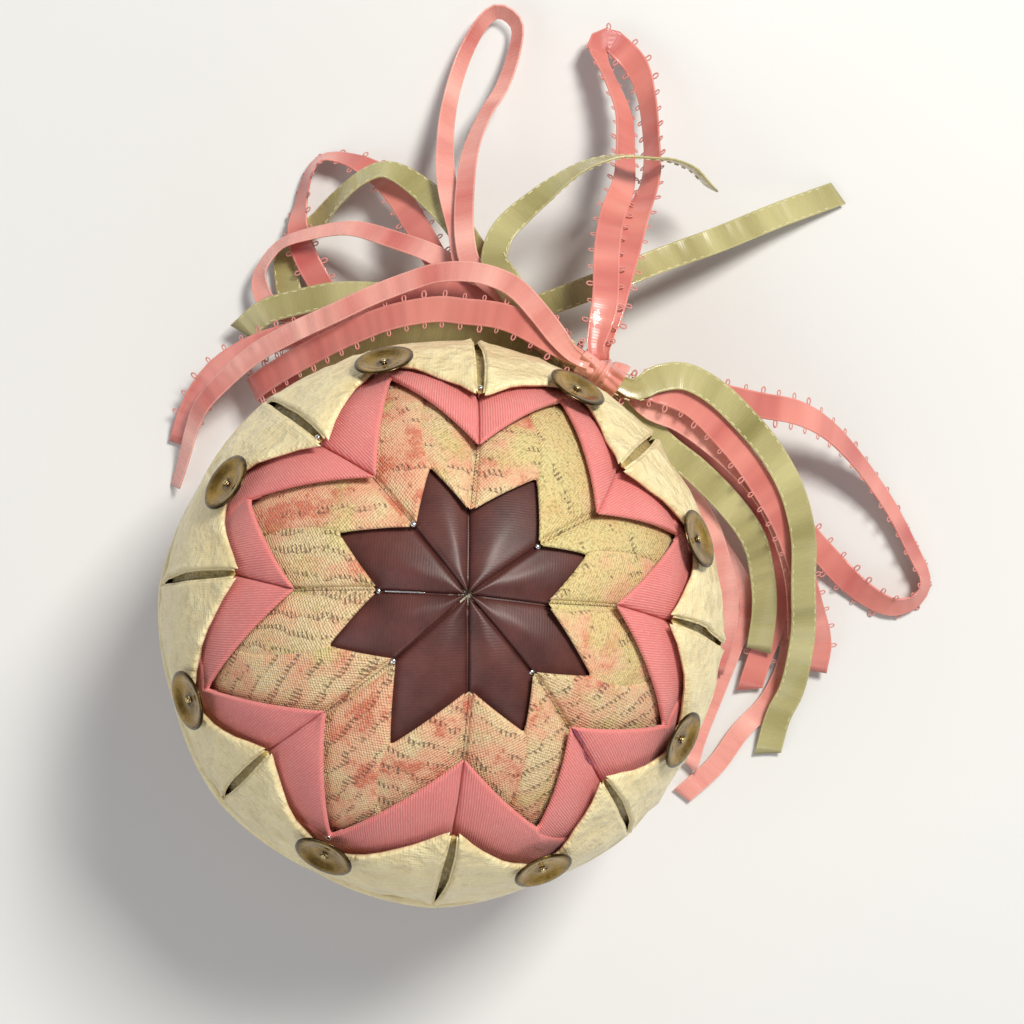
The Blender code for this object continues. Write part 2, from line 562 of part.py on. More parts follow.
def smooth_route(route, spacing):
    """Read a smooth curve through the route's points, one point each spacing."""
    points = [point for point, _ in route]
    leans = [lean for _, lean in route]
    before = points[0] * 2 - points[1]
    after = points[-1] * 2 - points[-2]
    line = [before, *points, after]
    fine = []
    for i in range(1, len(line) - 2):
        p0, p1, p2, p3 = line[i - 1:i + 3]
        parts = max(2, round((p2 - p1).length))
        for part in range(parts):
            t = part / parts
            spot = 0.5 * (2 * p1 + (p2 - p0) * t + (2 * p0 - 5 * p1 + 4 * p2 - p3) * t * t
                          + (3 * p1 - p0 - 3 * p2 + p3) * t ** 3)
            fine.append((spot, leans[i - 1] + (leans[min(i, len(leans) - 1)] - leans[i - 1]) * t))
    fine.append((points[-1], leans[-1]))
    lengths = [0.0]
    for (a, _), (b, _) in zip(fine, fine[1:]):
        lengths.append(lengths[-1] + (b - a).length)
    count = max(4, round(lengths[-1] / spacing))
    picked = []
    at = 0
    for i in range(count + 1):
        target = lengths[-1] * i / count
        while at < len(fine) - 2 and lengths[at + 1] < target:
            at += 1
        share = (target - lengths[at]) / (lengths[at + 1] - lengths[at])
        spot = fine[at][0].lerp(fine[at + 1][0], share)
        picked.append((spot, fine[at][1] + (fine[at + 1][1] - fine[at][1]) * share))
    return picked


def make_ribbon(name, cloth, width, out, back, turn, plan):
    path = smooth_route(ribbon_route(out, back, turn, plan), RIBBON_STEP)
    sections = []
    side = None
    for i, (spot, lean) in enumerate(path):
        ahead = path[min(i + 1, len(path) - 1)][0] - path[max(i - 1, 0)][0]
        level = layer_normal(spot.x, spot.y).cross(ahead.normalized())
        if side is None or level.length > 0.3:
            if side is not None and level.dot(side) < 0:
                level = -level
            side = level.normalized()
        across = Quaternion(ahead.normalized(), lean) @ side
        up = ahead.cross(across).normalized()
        half, deep = across * width / 2, up * RIBBON_THICKNESS / 2
        sections.append([spot - half - deep, spot + half - deep, spot + half + deep,
                         spot - half + deep])
    add_object(name, loft_rings(sections), cloth)


def main():
    for obj in list(bpy.data.objects):
        bpy.data.objects.remove(obj)
    hub = bpy.data.objects.new("ball_hub", None)
    bpy.context.collection.objects.link(hub)
    hub.location = (0, 0, CENTRE_HEIGHT * MM)
    hub.rotation_mode = "QUATERNION"
    tilt_axis = Vector((-math.sin(STAR_TILT_TOWARDS), math.cos(STAR_TILT_TOWARDS), 0))
    hub.rotation_quaternion = Quaternion(tilt_axis, STAR_TILT)
    make_ball(hub)
    make_points(hub)
    make_band(hub)
    make_sequins(hub)
    make_knot()
    for ribbon in RIBBONS:
        make_ribbon(*ribbon)


main()
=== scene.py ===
import bpy, bmesh, json, math
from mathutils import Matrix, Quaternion, Vector, noise
from mathutils.bvhtree import BVHTree

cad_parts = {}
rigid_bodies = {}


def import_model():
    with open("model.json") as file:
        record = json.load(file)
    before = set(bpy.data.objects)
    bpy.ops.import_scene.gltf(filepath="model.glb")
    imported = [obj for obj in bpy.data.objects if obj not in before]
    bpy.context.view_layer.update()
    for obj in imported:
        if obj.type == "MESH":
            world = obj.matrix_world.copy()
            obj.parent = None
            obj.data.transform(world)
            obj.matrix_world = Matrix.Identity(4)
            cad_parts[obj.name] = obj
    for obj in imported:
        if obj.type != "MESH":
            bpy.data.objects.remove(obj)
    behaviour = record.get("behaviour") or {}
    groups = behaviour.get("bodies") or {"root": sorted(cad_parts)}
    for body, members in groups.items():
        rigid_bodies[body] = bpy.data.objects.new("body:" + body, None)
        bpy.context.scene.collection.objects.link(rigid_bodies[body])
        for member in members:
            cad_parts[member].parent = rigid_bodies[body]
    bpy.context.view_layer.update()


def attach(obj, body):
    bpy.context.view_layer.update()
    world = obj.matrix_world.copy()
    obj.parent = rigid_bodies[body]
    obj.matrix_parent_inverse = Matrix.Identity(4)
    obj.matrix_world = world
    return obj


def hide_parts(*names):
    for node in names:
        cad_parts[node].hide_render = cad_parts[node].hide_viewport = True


for item in list(bpy.data.objects):
    bpy.data.objects.remove(item)
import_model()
mm = 0.001
fullTurn = 2 * math.pi

# Camera straight above, as the picture was taken
cameraSet = {"place": (10.2, 15.9, 359.2), "lens": 77.0, "sensor": 36.0}
cameraData = bpy.data.cameras.new("topCamera")
cameraData.lens = cameraSet["lens"]
cameraData.sensor_width = cameraSet["sensor"]
cameraData.clip_start = 0.01
cameraObject = bpy.data.objects.new("topCamera", cameraData)
bpy.context.collection.objects.link(cameraObject)
cameraObject.location = Vector(cameraSet["place"]) * mm
bpy.context.scene.camera = cameraObject

# Shader helper: sockets that can be added and multiplied
class Sock:
    def __init__(self, graph, socket):
        self.graph = graph
        self.socket = socket

    def math(self, kind, other=None, clamp=False):
        inputs = {0: self} if other is None else {0: self, 1: other}
        return self.graph.node("ShaderNodeMath", {"operation": kind, "use_clamp": clamp}, inputs)

    def __add__(self, other):
        return self.math("ADD", other)

    def __sub__(self, other):
        return self.math("SUBTRACT", other)

    def __rsub__(self, other):
        return self.graph.number(other).math("SUBTRACT", self)

    def __mul__(self, other):
        return self.math("MULTIPLY", other)

    def __abs__(self):
        return self.math("ABSOLUTE")

    __radd__ = __add__
    __rmul__ = __mul__

    def wave(self):
        return self.math("SINE")

    def clamp(self):
        return self.math("ADD", 0.0, clamp=True)


class Graph:
    def __init__(self, name):
        self.material = bpy.data.materials.new(name)
        self.material.use_nodes = True
        self.tree = self.material.node_tree
        self.tree.nodes.clear()

    def node(self, kind, settings=None, inputs=None, out=0):
        made = self.tree.nodes.new(kind)
        for key, value in (settings or {}).items():
            setattr(made, key, value)
        for key, value in (inputs or {}).items():
            if isinstance(value, Sock):
                self.tree.links.new(value.socket, made.inputs[key])
            else:
                made.inputs[key].default_value = value
        return None if out is None else Sock(self, made.outputs[out])

    def number(self, value):
        return self.node("ShaderNodeMath", {"operation": "ADD"}, {0: float(value), 1: 0.0})

    def uv(self):
        spot = self.node("ShaderNodeUVMap", {"uv_map": "cloth"})
        return spot, *(self.node("ShaderNodeSeparateXYZ", None, {0: spot}, out) for out in (0, 1))

    def blend(self):
        # what each piece of cloth shows most of: coral, olive and dashes, and the painted shade inside a
        # slit
        made = self.node("ShaderNodeAttribute", {"attribute_name": "blend"})
        parts = [self.node("ShaderNodeSeparateColor", None, {0: made}, out) for out in range(3)]
        return (*parts, self.node("ShaderNodeAttribute", {"attribute_name": "inside"}, None, "Fac"))

    def place(self):
        return self.node("ShaderNodeTexCoord", None, None, "Object")

    def stretched(self, vector, by):
        return self.node("ShaderNodeVectorMath", {"operation": "MULTIPLY"}, {0: vector, 1: by})

    def noise(self, vector, scale, detail=3.0, rough=0.55):
        return self.node("ShaderNodeTexNoise", None,
                         {"Vector": vector, "Scale": scale, "Detail": detail, "Roughness": rough})

    def step(self, value, low, high):
        return self.node("ShaderNodeMapRange", {"interpolation_type": "SMOOTHSTEP"},
                         {"Value": value, "From Min": low, "From Max": high})

    def mix(self, share, first, second):
        return self.node("ShaderNodeMix", {"data_type": "RGBA", "blend_type": "MIX"},
                         {0: share, 6: tint(first), 7: tint(second)}, 2)

    def bump(self, height, strength, distance):
        return self.node("ShaderNodeBump", None,
                         {"Height": height, "Strength": strength, "Distance": distance})

    def finish(self, **inputs):
        plain = {key.replace("_", " "): tint(value) for key, value in inputs.items()}
        shader = self.node("ShaderNodeBsdfPrincipled", None, plain)
        self.node("ShaderNodeOutputMaterial", None, {"Surface": shader}, None)
        return self.material


def tint(value):
    return (*value, 1.0) if isinstance(value, tuple) and len(value) == 3 else value

# Cloth finishes
# ribbed: thread is the colour of the painted glint on the rib crests
ribbedLook = {"pale": (0.89, 0.29, 0.265), "deep": (0.60, 0.13, 0.125), "thread": (0.95, 0.52, 0.48),
              "pitch": 0.36, "rough": 0.6}
starLook = {"pale": (0.16, 0.046, 0.037), "deep": (0.045, 0.011, 0.009), "pitch": 0.4, "rough": 0.46}
floralLook = {"ground": (0.58, 0.36, 0.15), "pale": (0.93, 0.79, 0.48), "coral": (0.66, 0.17, 0.09),
              "rose": (0.82, 0.38, 0.23), "olive": (0.26, 0.21, 0.05), "gold": (0.72, 0.62, 0.25),
              "dash": (0.12, 0.055, 0.02), "rowPitch": 2.9}
# damask: ground is the cloth's colour, pale is partly a painted sheen highlight, deep is painted shade,
# inside is the painted shade of the under-leaf in a slit
damaskLook = {"ground": (0.69, 0.54, 0.26), "pale": (0.95, 0.85, 0.53), "deep": (0.36, 0.26, 0.08),
              "inside": (0.44, 0.33, 0.10)}
# satin: base is the shaded colour and pale the painted sheen highlight, which also tints the selvage edges
satinLook = {
    "pink": {"base": (0.58, 0.15, 0.13), "pale": (0.95, 0.50, 0.42), "rough": 0.22, "edge": 1.45},
    "picot": {"base": (0.48, 0.10, 0.09), "pale": (0.84, 0.33, 0.27), "rough": 0.26, "edge": 1.8},
    "green": {"base": (0.24, 0.21, 0.07), "pale": (0.60, 0.55, 0.27), "rough": 0.22, "edge": 1.95},
}
# sequins: deep is the metal's tone and pale is partly a painted highlight
sequinLook = {"deep": (0.05, 0.026, 0.002), "pale": (0.56, 0.34, 0.06), "rough": 0.2}
foamLook = {"deep": (0.62, 0.55, 0.38), "pale": (0.8, 0.74, 0.56)}
threadLook = {"picotThread": (0.78, 0.30, 0.26), "edgeThread": (0.74, 0.67, 0.38),
              "slitThread": (0.24, 0.05, 0.16)}
pinLook = {"silverPin": ((0.85, 0.85, 0.85), 0.15), "brassPin": ((0.75, 0.58, 0.28), 0.2)}


def ribbedMaterial():
    g = Graph("ribbedCloth")
    spot, u, _ = g.uv()
    drift = g.noise(spot, 0.3, 2.0)
    rib = (u * (fullTurn / ribbedLook["pitch"]) + (drift - 0.5) * 2.6).wave() * 0.5 + 0.5
    stretch = g.stretched(spot, (1.6, 0.35, 1.0))
    grain = g.noise(stretch, 2.6, 3.0, 0.65)
    soft = g.noise(spot, 0.13, 2.0)
    shade = rib * 0.42 + soft * 0.5 + 0.02
    colour = g.mix(shade.clamp(), ribbedLook["deep"], ribbedLook["pale"])
    # painted highlight: a glint on the rib crests in the thread colour
    glint = g.step(grain, 0.5, 0.78) * (rib * 0.7 + 0.3)
    colour = g.mix(glint * 0.55, colour, ribbedLook["thread"])
    return g.finish(Base_Color=colour, Roughness=ribbedLook["rough"],
                    Normal=g.bump(rib + grain * 0.8, 0.55, 0.00013),
                    Sheen_Weight=0.2, Sheen_Roughness=0.5)


def starMaterial():
    g = Graph("starCloth")
    spot, _, v = g.uv()
    drift = g.noise(spot, 0.22, 2.0)
    rib = (v * (fullTurn / starLook["pitch"]) + (drift - 0.5) * 5.0).wave() * 0.5 + 0.5
    stretch = g.stretched(spot, (0.4, 1.5, 1.0))
    grain = g.noise(stretch, 3.0, 3.0, 0.65)
    soft = g.noise(spot, 0.16, 3.0)
    shade = rib * 0.12 + grain * 0.45 + soft * 1.3 - 0.6
    colour = g.mix(shade.clamp(), starLook["deep"], starLook["pale"])
    return g.finish(Base_Color=colour, Roughness=starLook["rough"],
                    Normal=g.bump(rib * 0.3 + grain, 0.22, 0.00008),
                    Sheen_Weight=0.12, Sheen_Roughness=0.35, Sheen_Tint=(0.75, 0.5, 0.45, 1.0))


def floralMaterial():
    g = Graph("floralBrocade")
    spot, u, v = g.uv()
    coral, olive, dashes, inside = g.blend()
    wide = g.noise(spot, 0.12, 2.0, 0.5)
    blotch = g.noise(spot, 0.15, 5.0, 0.66)
    weave = g.noise(spot, 2.4, 3.0, 0.6)
    slub = g.noise(g.stretched(spot, (1.0, 0.3, 1.0)), 3.4, 2.0, 0.6)
    thread = (u * 13.0 + weave * 3.0).wave() * (v * 10.0 + weave * 3.0).wave()
    shade = weave * 1.2 + slub * 1.3 + thread * 0.14 - 0.75
    ground = g.mix(shade.clamp(), floralLook["ground"], floralLook["pale"])
    rose = g.step(blotch + coral * 0.24, 0.5, 0.72)
    ground = g.mix(rose * 0.8, ground, floralLook["rose"])
    deep = g.step(blotch + coral * 0.16, 0.64, 0.74) * (g.step(weave, 0.3, 0.6) * 0.6 + 0.4)
    ground = g.mix(deep, ground, floralLook["coral"])
    gold = g.step(wide + olive * 0.35, 0.62, 0.78)
    ground = g.mix(gold * 0.7, ground, floralLook["gold"])
    cell = g.node("ShaderNodeTexVoronoi", {"feature": "F1"}, {"Vector": spot, "Scale": 1.25})
    fleck = g.step(g.noise(spot, 1.9, 3.0, 0.65), 0.5, 0.6) * 0.7
    fleck = fleck + g.step(cell + weave * 0.4, 0.55, 0.35) * 0.5
    speck = fleck.clamp() * g.step(wide + olive * 0.3, 0.5, 0.72)
    ground = g.mix(speck * 0.6, ground, floralLook["olive"])
    bend = g.noise(spot, 0.3, 2.0, 0.5)
    lost = g.noise(spot, 0.75, 2.0, 0.5)
    row = (v * (fullTurn / floralLook["rowPitch"]) + bend * 7.0).wave()
    stitch = (u * (fullTurn / 0.74) + v * 3.4 + slub * 3.6).wave()
    bar = (v * (fullTurn / floralLook["rowPitch"]) + bend * 7.0 + 0.7).wave()
    where = g.step(g.noise(spot, 0.2, 3.0, 0.6) + dashes * 0.16, 0.54, 0.62) * g.step(lost, 0.36, 0.46)
    tick = g.step(row, 0.5, 0.72) * g.step(stitch, 0.15, 0.55)
    line = g.step(bar, 0.97, 0.99) * g.step(slub, 0.42, 0.56)
    dash = (tick + line * 0.7) * where
    mark = (dash * (g.step(weave, 0.34, 0.5) * 0.75 + 0.25)).clamp()
    colour = g.mix(mark * 0.8, ground, floralLook["dash"])
    # painted shade: the under-leaf inside a slit is darkened towards olive
    colour = g.mix(inside * 0.55, colour, floralLook["olive"])
    height = weave * 1.2 + slub * 0.8 + thread * 0.35 + deep * 0.3 - mark * 0.9
    return g.finish(Base_Color=colour, Roughness=0.66, Normal=g.bump(height, 0.75, 0.00028),
                    Sheen_Weight=0.12)


def damaskMaterial():
    g = Graph("damaskCloth")
    spot, u, v = g.uv()
    *_, inside = g.blend()
    cloud = g.noise(spot, 0.2, 3.0, 0.6)
    fine = g.noise(spot, 2.8, 3.0, 0.6)
    bars = g.noise(g.stretched(spot, (0.6, 1.0, 1.0)), 0.55, 2.0, 0.5)
    leaf = g.node("ShaderNodeTexVoronoi", {"feature": "SMOOTH_F1"}, {"Vector": spot, "Scale": 0.26})
    figure = g.step(leaf + cloud * 0.5 + fine * 0.15, 0.78, 0.9)
    thread = (u * 15.0).wave() * 0.5 + 0.5
    ribs = (v * 12.0 + fine * 0.5).wave() * figure
    # cloudy tone and the woven figure, with painted sheen highlights and shade from the cloud and bars noise
    shade = cloud * 0.6 + fine * 0.3 + bars * 0.4 + figure * 0.22 + ribs * 0.07 - 0.26
    colour = g.mix(shade.clamp(), damaskLook["ground"], damaskLook["pale"])
    # painted shade: patches mixed in towards deep
    paintedShade = g.step(bars + cloud * 0.4, 0.66, 0.52) * g.step(fine, 0.42, 0.62)
    colour = g.mix(paintedShade * 0.14, colour, damaskLook["deep"])
    # painted shade: the under-leaf inside a slit takes the inside colour
    colour = g.mix(inside, colour, damaskLook["inside"])
    height = cloud * 7.0 + bars * 2.0 + fine * 0.4 + ribs * 0.1 + thread * 0.1
    return g.finish(Base_Color=colour, Roughness=figure * 0.2 + fine * 0.14 + 0.24,
                    Normal=g.bump(height, 0.5, 0.00045),
                    Sheen_Weight=0.15, Sheen_Roughness=0.4, Sheen_Tint=(1.0, 0.95, 0.75, 1.0),
                    Metallic=0.1)


def satinMaterial(kind):
    look = satinLook[kind]
    g = Graph(kind + "Satin")
    spot, u, v = g.uv()
    stretch = g.stretched(spot, (1.0, 0.12, 1.0))
    across = g.noise(stretch, 3.0, 3.0, 0.6)
    soft = g.noise(stretch, 0.09, 1.0)
    crease = g.noise(stretch, 0.3, 1.0)
    # painted sheen and shade: soft bands across the ribbon between base and pale, as where satin bends
    shade = (across * 0.1 + soft * 2.2 + crease * 0.5 - 0.92).clamp()
    colour = g.mix(shade, look["base"], look["pale"])
    edge = g.step(abs(v), look["edge"] - 0.2, look["edge"])
    colour = g.mix(edge * 0.3, colour, look["pale"])
    thread = (u * 14.0).wave() * 0.5 + 0.5
    return g.finish(Base_Color=colour, Roughness=across * 0.1 + look["rough"],
                    Normal=g.bump(across * 0.05 + crease * 5.0 + thread * 0.05 + edge * 0.6, 0.35, 0.0003),
                    Sheen_Weight=0.2, Sheen_Roughness=0.3, Coat_Weight=0.2)


def threadMaterial(name, colour):
    g = Graph(name)
    fine = g.noise(g.place(), 4000.0, 2.0)
    shade = g.mix(fine, tuple(channel * 0.75 for channel in colour), colour)
    return g.finish(Base_Color=shade, Roughness=0.55, Normal=g.bump(fine, 0.3, 0.0001),
                    Sheen_Weight=0.2)


def metalMaterial(name, colour, rough):
    g = Graph(name)
    fine = g.noise(g.place(), 900.0, 3.0)
    shade = g.mix(fine, tuple(channel * 0.7 for channel in colour), colour)
    return g.finish(Base_Color=shade, Roughness=fine * 0.2 + rough, Metallic=1.0)


def sequinMaterial():
    g = Graph("bronzeSequin")
    _, _, v = g.uv()
    cloud = g.noise(g.place(), 260.0, 3.0)
    worn = g.noise(g.place(), 1500.0, 3.0, 0.7)
    # painted shade towards the outer rim and round the pin hole; the cloudy tone from deep to pale is partly
    # painted highlight
    rim = g.step(v, 3.3, 4.1)
    centreShade = g.step(v, 1.5, 0.7)
    shade = (cloud * 1.3 + worn * 0.6 - 0.5 - rim * 0.5 - centreShade * 0.3).clamp()
    colour = g.mix(shade, sequinLook["deep"], sequinLook["pale"])
    return g.finish(Base_Color=colour, Roughness=worn * 0.15 + sequinLook["rough"], Metallic=0.85,
                    Coat_Weight=0.3, Coat_Roughness=0.15, Normal=g.bump(worn, 0.2, 0.0001))


def foamMaterial():
    g = Graph("ballFoam")
    cell = g.node("ShaderNodeTexVoronoi", None, {"Vector": g.place(), "Scale": 700.0})
    colour = g.mix(cell, foamLook["deep"], foamLook["pale"])
    return g.finish(Base_Color=colour, Roughness=0.8, Normal=g.bump(cell, 0.3, 0.0003))


materials = {
    "ribbed": ribbedMaterial(), "star": starMaterial(), "floral": floralMaterial(),
    "damask": damaskMaterial(), "pink": satinMaterial("pink"), "picot": satinMaterial("picot"),
    "green": satinMaterial("green"), "sequin": sequinMaterial(), "foam": foamMaterial(),
    **{name: threadMaterial(name, colour) for name, colour in threadLook.items()},
    **{name: metalMaterial(name, *look) for name, look in pinLook.items()},
}
print("finishes made")


# Mesh makers
def newObject(name, bm, material):
    for face in bm.faces:
        face.smooth = True
    mesh = bpy.data.meshes.new(name)
    bm.to_mesh(mesh)
    bm.free()
    mesh.materials.append(materials[material])
    made = bpy.data.objects.new(name, mesh)
    bpy.context.collection.objects.link(made)
    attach(made, "root")
    return made


def turnOutwards(bm):
    bmesh.ops.recalc_face_normals(bm, faces=bm.faces)
    if bm.calc_volume(signed=True) < 0:
        bmesh.ops.reverse_faces(bm, faces=bm.faces)


def closeGrid(bm, layer, top, bottom, uvRows, blend):
    # two grids of points closed round their rim, with the cloth's own map in millimetres
    rows, columns = len(top), len(top[0])
    upper, lower = [[[bm.verts.new(point) for point in row] for row in grid] for grid in (top, bottom)]
    uvOf = {grid[i][j]: uvRows[i][j]
            for grid in (upper, lower) for i in range(rows) for j in range(columns)}
    faces = []
    for i in range(rows - 1):
        for j in range(columns - 1):
            faces.append((upper[i][j], upper[i][j + 1], upper[i + 1][j + 1], upper[i + 1][j]))
            faces.append((lower[i][j], lower[i + 1][j], lower[i + 1][j + 1], lower[i][j + 1]))
    rim = [(0, j) for j in range(columns)] + [(i, columns - 1) for i in range(1, rows)]
    rim += [(rows - 1, j) for j in range(columns - 2, -1, -1)] + [(i, 0) for i in range(rows - 2, 0, -1)]
    for (i, j), (k, m) in zip(rim, rim[1:] + rim[:1]):
        faces.append((upper[k][m], upper[i][j], lower[i][j], lower[k][m]))
    # the blend colour holds the coral, olive and dash shares; inside holds the painted shade of a slit's
    # under-leaf
    shown, shaded = bm.verts.layers.float_color["blend"], bm.verts.layers.float["inside"]
    for vert in uvOf:
        vert[shown] = (*blend[:3], 1.0)
        vert[shaded] = blend[3]
    built = [bm.faces.new(corners) for corners in faces]
    for face in built:
        for loop in face.loops:
            loop[layer].uv = uvOf[loop.vert]
    # a face in the middle of the upper grid tells whether the whole sheet is inside out
    i, j = rows // 2, columns // 2
    probe = built[2 * (i * (columns - 1) + j)]
    probe.normal_update()
    if probe.normal.dot(top[i][j] - bottom[i][j]) < 0:
        bmesh.ops.reverse_faces(bm, faces=built)


def loftRings(bm, rings, closed, uvAt):
    # faces between rings of points; uvAt gives the cloth's map for a ring and a place on it
    layer = bm.loops.layers.uv.new("cloth")
    loops = [[bm.verts.new(point) for point in ring] for ring in rings]
    count = len(loops[0])
    for i, (a, b) in enumerate(zip(loops, loops[1:] + loops[:1] if closed else loops[1:])):
        for k in range(count):
            j = (k + 1) % count
            face = bm.faces.new((a[k], a[j], b[j], b[k]))
            corners = ((i, k), (i, k + 1), (i + 1, k + 1), (i + 1, k))
            for loop, corner in zip(face.loops, corners):
                loop[layer].uv = uvAt(*corner)
    return loops


# Things that repeat: picots, edge stitches and pins, set on points that know their directions
repeatSet = {
    "picotRow": {"radius": 0.42, "thread": 0.12, "spread": 0.22, "seed": 4},
    "stitchRow": {"length": 0.75, "thread": 0.12, "spread": 0.1, "seed": 9},
    "pinHeads": {"radius": 0.55, "neck": 0.18, "spread": 0.0, "seed": 2},
}


def repeatTree(name):
    look = repeatSet[name]
    tree = bpy.data.node_groups.new(name, "GeometryNodeTree")
    tree.interface.new_socket("Geometry", in_out="INPUT", socket_type="NodeSocketGeometry")
    for label in look:
        kind = "NodeSocketInt" if label == "seed" else "NodeSocketFloat"
        tree.interface.new_socket(label, in_out="INPUT", socket_type=kind)
    tree.interface.new_socket("finish", in_out="INPUT", socket_type="NodeSocketMaterial")
    tree.interface.new_socket("Geometry", in_out="OUTPUT", socket_type="NodeSocketGeometry")

    def node(kind, inputs=None, **settings):
        made = tree.nodes.new(kind)
        for key, value in settings.items():
            setattr(made, key, value)
        for key, value in (inputs or {}).items():
            if isinstance(value, bpy.types.NodeSocket):
                tree.links.new(value, made.inputs[key])
            else:
                made.inputs[key].default_value = value
        return made.outputs

    given = node("NodeGroupInput")
    scaled = {}
    for label in look:
        if label not in ("seed", "spread"):
            scaled[label] = node("ShaderNodeMath", {0: given[label], 1: mm}, operation="MULTIPLY")[0]
    if name == "picotRow":
        loop = node("GeometryNodeCurvePrimitiveCircle", {"Resolution": 9, "Radius": scaled["radius"]})[0]
        shift = node("ShaderNodeCombineXYZ", {"Y": scaled["radius"]})[0]
        loop = node("GeometryNodeTransform", {"Geometry": loop, "Translation": shift,
                                              "Scale": (0.72, 1.15, 1.0)})[0]
        thread = node("GeometryNodeCurvePrimitiveCircle", {"Resolution": 4, "Radius": scaled["thread"]})[0]
        thing = node("GeometryNodeCurveToMesh", {"Curve": loop, "Profile Curve": thread})[0]
    elif name == "stitchRow":
        half = node("ShaderNodeMath", {0: scaled["length"], 1: 0.5}, operation="MULTIPLY")[0]
        back = node("ShaderNodeMath", {0: half, 1: -1.0}, operation="MULTIPLY")[0]
        line = node("GeometryNodeCurvePrimitiveLine",
                    {"Start": node("ShaderNodeCombineXYZ", {"X": back})[0],
                     "End": node("ShaderNodeCombineXYZ", {"X": half})[0]})[0]
        thread = node("GeometryNodeCurvePrimitiveCircle", {"Resolution": 5, "Radius": scaled["thread"]})[0]
        thing = node("GeometryNodeCurveToMesh",
                     {"Curve": line, "Profile Curve": thread, "Fill Caps": True})[0]
    else:
        head = node("GeometryNodeMeshUVSphere", {"Segments": 14, "Rings": 9, "Radius": scaled["radius"]})[0]
        head = node("GeometryNodeTransform", {"Geometry": head, "Scale": (1.0, 1.0, 0.6)})[0]
        neck = node("GeometryNodeMeshCylinder", {"Vertices": 8, "Radius": scaled["neck"],
                                                 "Depth": 0.0016})[0]
        neck = node("GeometryNodeTransform", {"Geometry": neck, "Translation": (0, 0, -0.0009)})[0]
        both = tree.nodes.new("GeometryNodeJoinGeometry")
        tree.links.new(head, both.inputs[0])
        tree.links.new(neck, both.inputs[0])
        thing = both.outputs[0]
    forward = node("GeometryNodeInputNamedAttribute", {"Name": "forward"}, data_type="FLOAT_VECTOR")[0]
    upward = node("GeometryNodeInputNamedAttribute", {"Name": "upward"}, data_type="FLOAT_VECTOR")[0]
    turn = node("FunctionNodeAxesToRotation", {0: upward, 1: forward},
                primary_axis="Z", secondary_axis="X")[0]
    least = node("ShaderNodeMath", {0: 1.0, 1: given["spread"]}, operation="SUBTRACT")[0]
    most = node("ShaderNodeMath", {0: 1.0, 1: given["spread"]}, operation="ADD")[0]
    size = node("FunctionNodeRandomValue", {"Min": least, "Max": most, "Seed": given["seed"]},
                data_type="FLOAT")
    points = node("GeometryNodeMeshToPoints", {"Mesh": given["Geometry"]})[0]
    value = [socket for socket in size if socket.enabled and socket.type == "VALUE"][0]
    placed = node("GeometryNodeInstanceOnPoints",
                  {"Points": points, "Instance": thing, "Rotation": turn, "Scale": value})
    real = node("GeometryNodeRealizeInstances", {"Geometry": placed[0]})[0]
    smooth = node("GeometryNodeSetShadeSmooth", {"Geometry": real})[0]
    done = node("GeometryNodeSetMaterial", {"Geometry": smooth, "Material": given["finish"]})[0]
    node("NodeGroupOutput", {0: done})
    return tree


repeatTrees = {name: repeatTree(name) for name in repeatSet}


def repeatOn(name, kind, rows, material, slot, **changes):
    # rows: place, forward and upward of each, in millimetres
    mesh = bpy.data.meshes.new(name)
    mesh.from_pydata([place * mm for place, _, _ in rows], [], [])
    for label, column in (("forward", 1), ("upward", 2)):
        values = mesh.attributes.new(label, "FLOAT_VECTOR", "POINT")
        values.data.foreach_set("vector", [part for row in rows for part in row[column]])
    seed = bpy.data.objects.new(name + "Seed", mesh)
    bpy.context.collection.objects.link(seed)
    modifier = seed.modifiers.new("repeat", "NODES")
    modifier.node_group = repeatTrees[kind]
    sizes = {**repeatSet[kind], **changes, "finish": materials[material]}
    for item in repeatTrees[kind].interface.items_tree:
        if item.in_out == "INPUT" and item.name in sizes:
            modifier[item.identifier] = sizes[item.name]
    bpy.context.view_layer.update()
    evaluated = seed.evaluated_get(bpy.context.evaluated_depsgraph_get())
    plain = bpy.data.meshes.new_from_object(evaluated)
    bpy.data.objects.remove(seed)
    plain.name = name
    made = bpy.data.objects.new(name, plain)
    bpy.context.collection.objects.link(made)
    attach(made, "root")
    return made


# The ball and the flat chart of arcs that its points are laid out on
stepsRound = 16  # where a round has eight points, its points and joins alternate
ballSet = {"arcRadius": 40.0, "centre": 38.8, "tilt": 10.3, "towards": 49.0, "foam": 36.6,
           "press": 1.0, "seamArc": 61.5, "rimCorner": 0.45, "rimFrom": 46.0}
hubTurn = Quaternion((-math.sin(math.radians(ballSet["towards"])),
                      math.cos(math.radians(ballSet["towards"])), 0),
                     math.radians(ballSet["tilt"]))
hubPlace = Vector((0, 0, ballSet["centre"]))


def pressed(point):
    # what the ball lies on flattens its underside without letting layers pass each other
    press = ballSet["press"]
    if point.z < press:
        point.z = press * math.exp((point.z - press) / press)
    return point


def fromHub(point):
    return pressed(hubTurn @ point + hubPlace)


def onBall(spot, radius, side=1):
    arc = spot.length
    angle = arc / ballSet["arcRadius"]
    level = radius * math.sin(angle)
    flat = spot.normalized() if arc > 0 else Vector((1, 0))
    return Vector((flat.x * level, flat.y * level, side * radius * math.cos(angle)))


def polar(arc, azimuth):
    return Vector((arc * math.cos(azimuth), arc * math.sin(azimuth)))


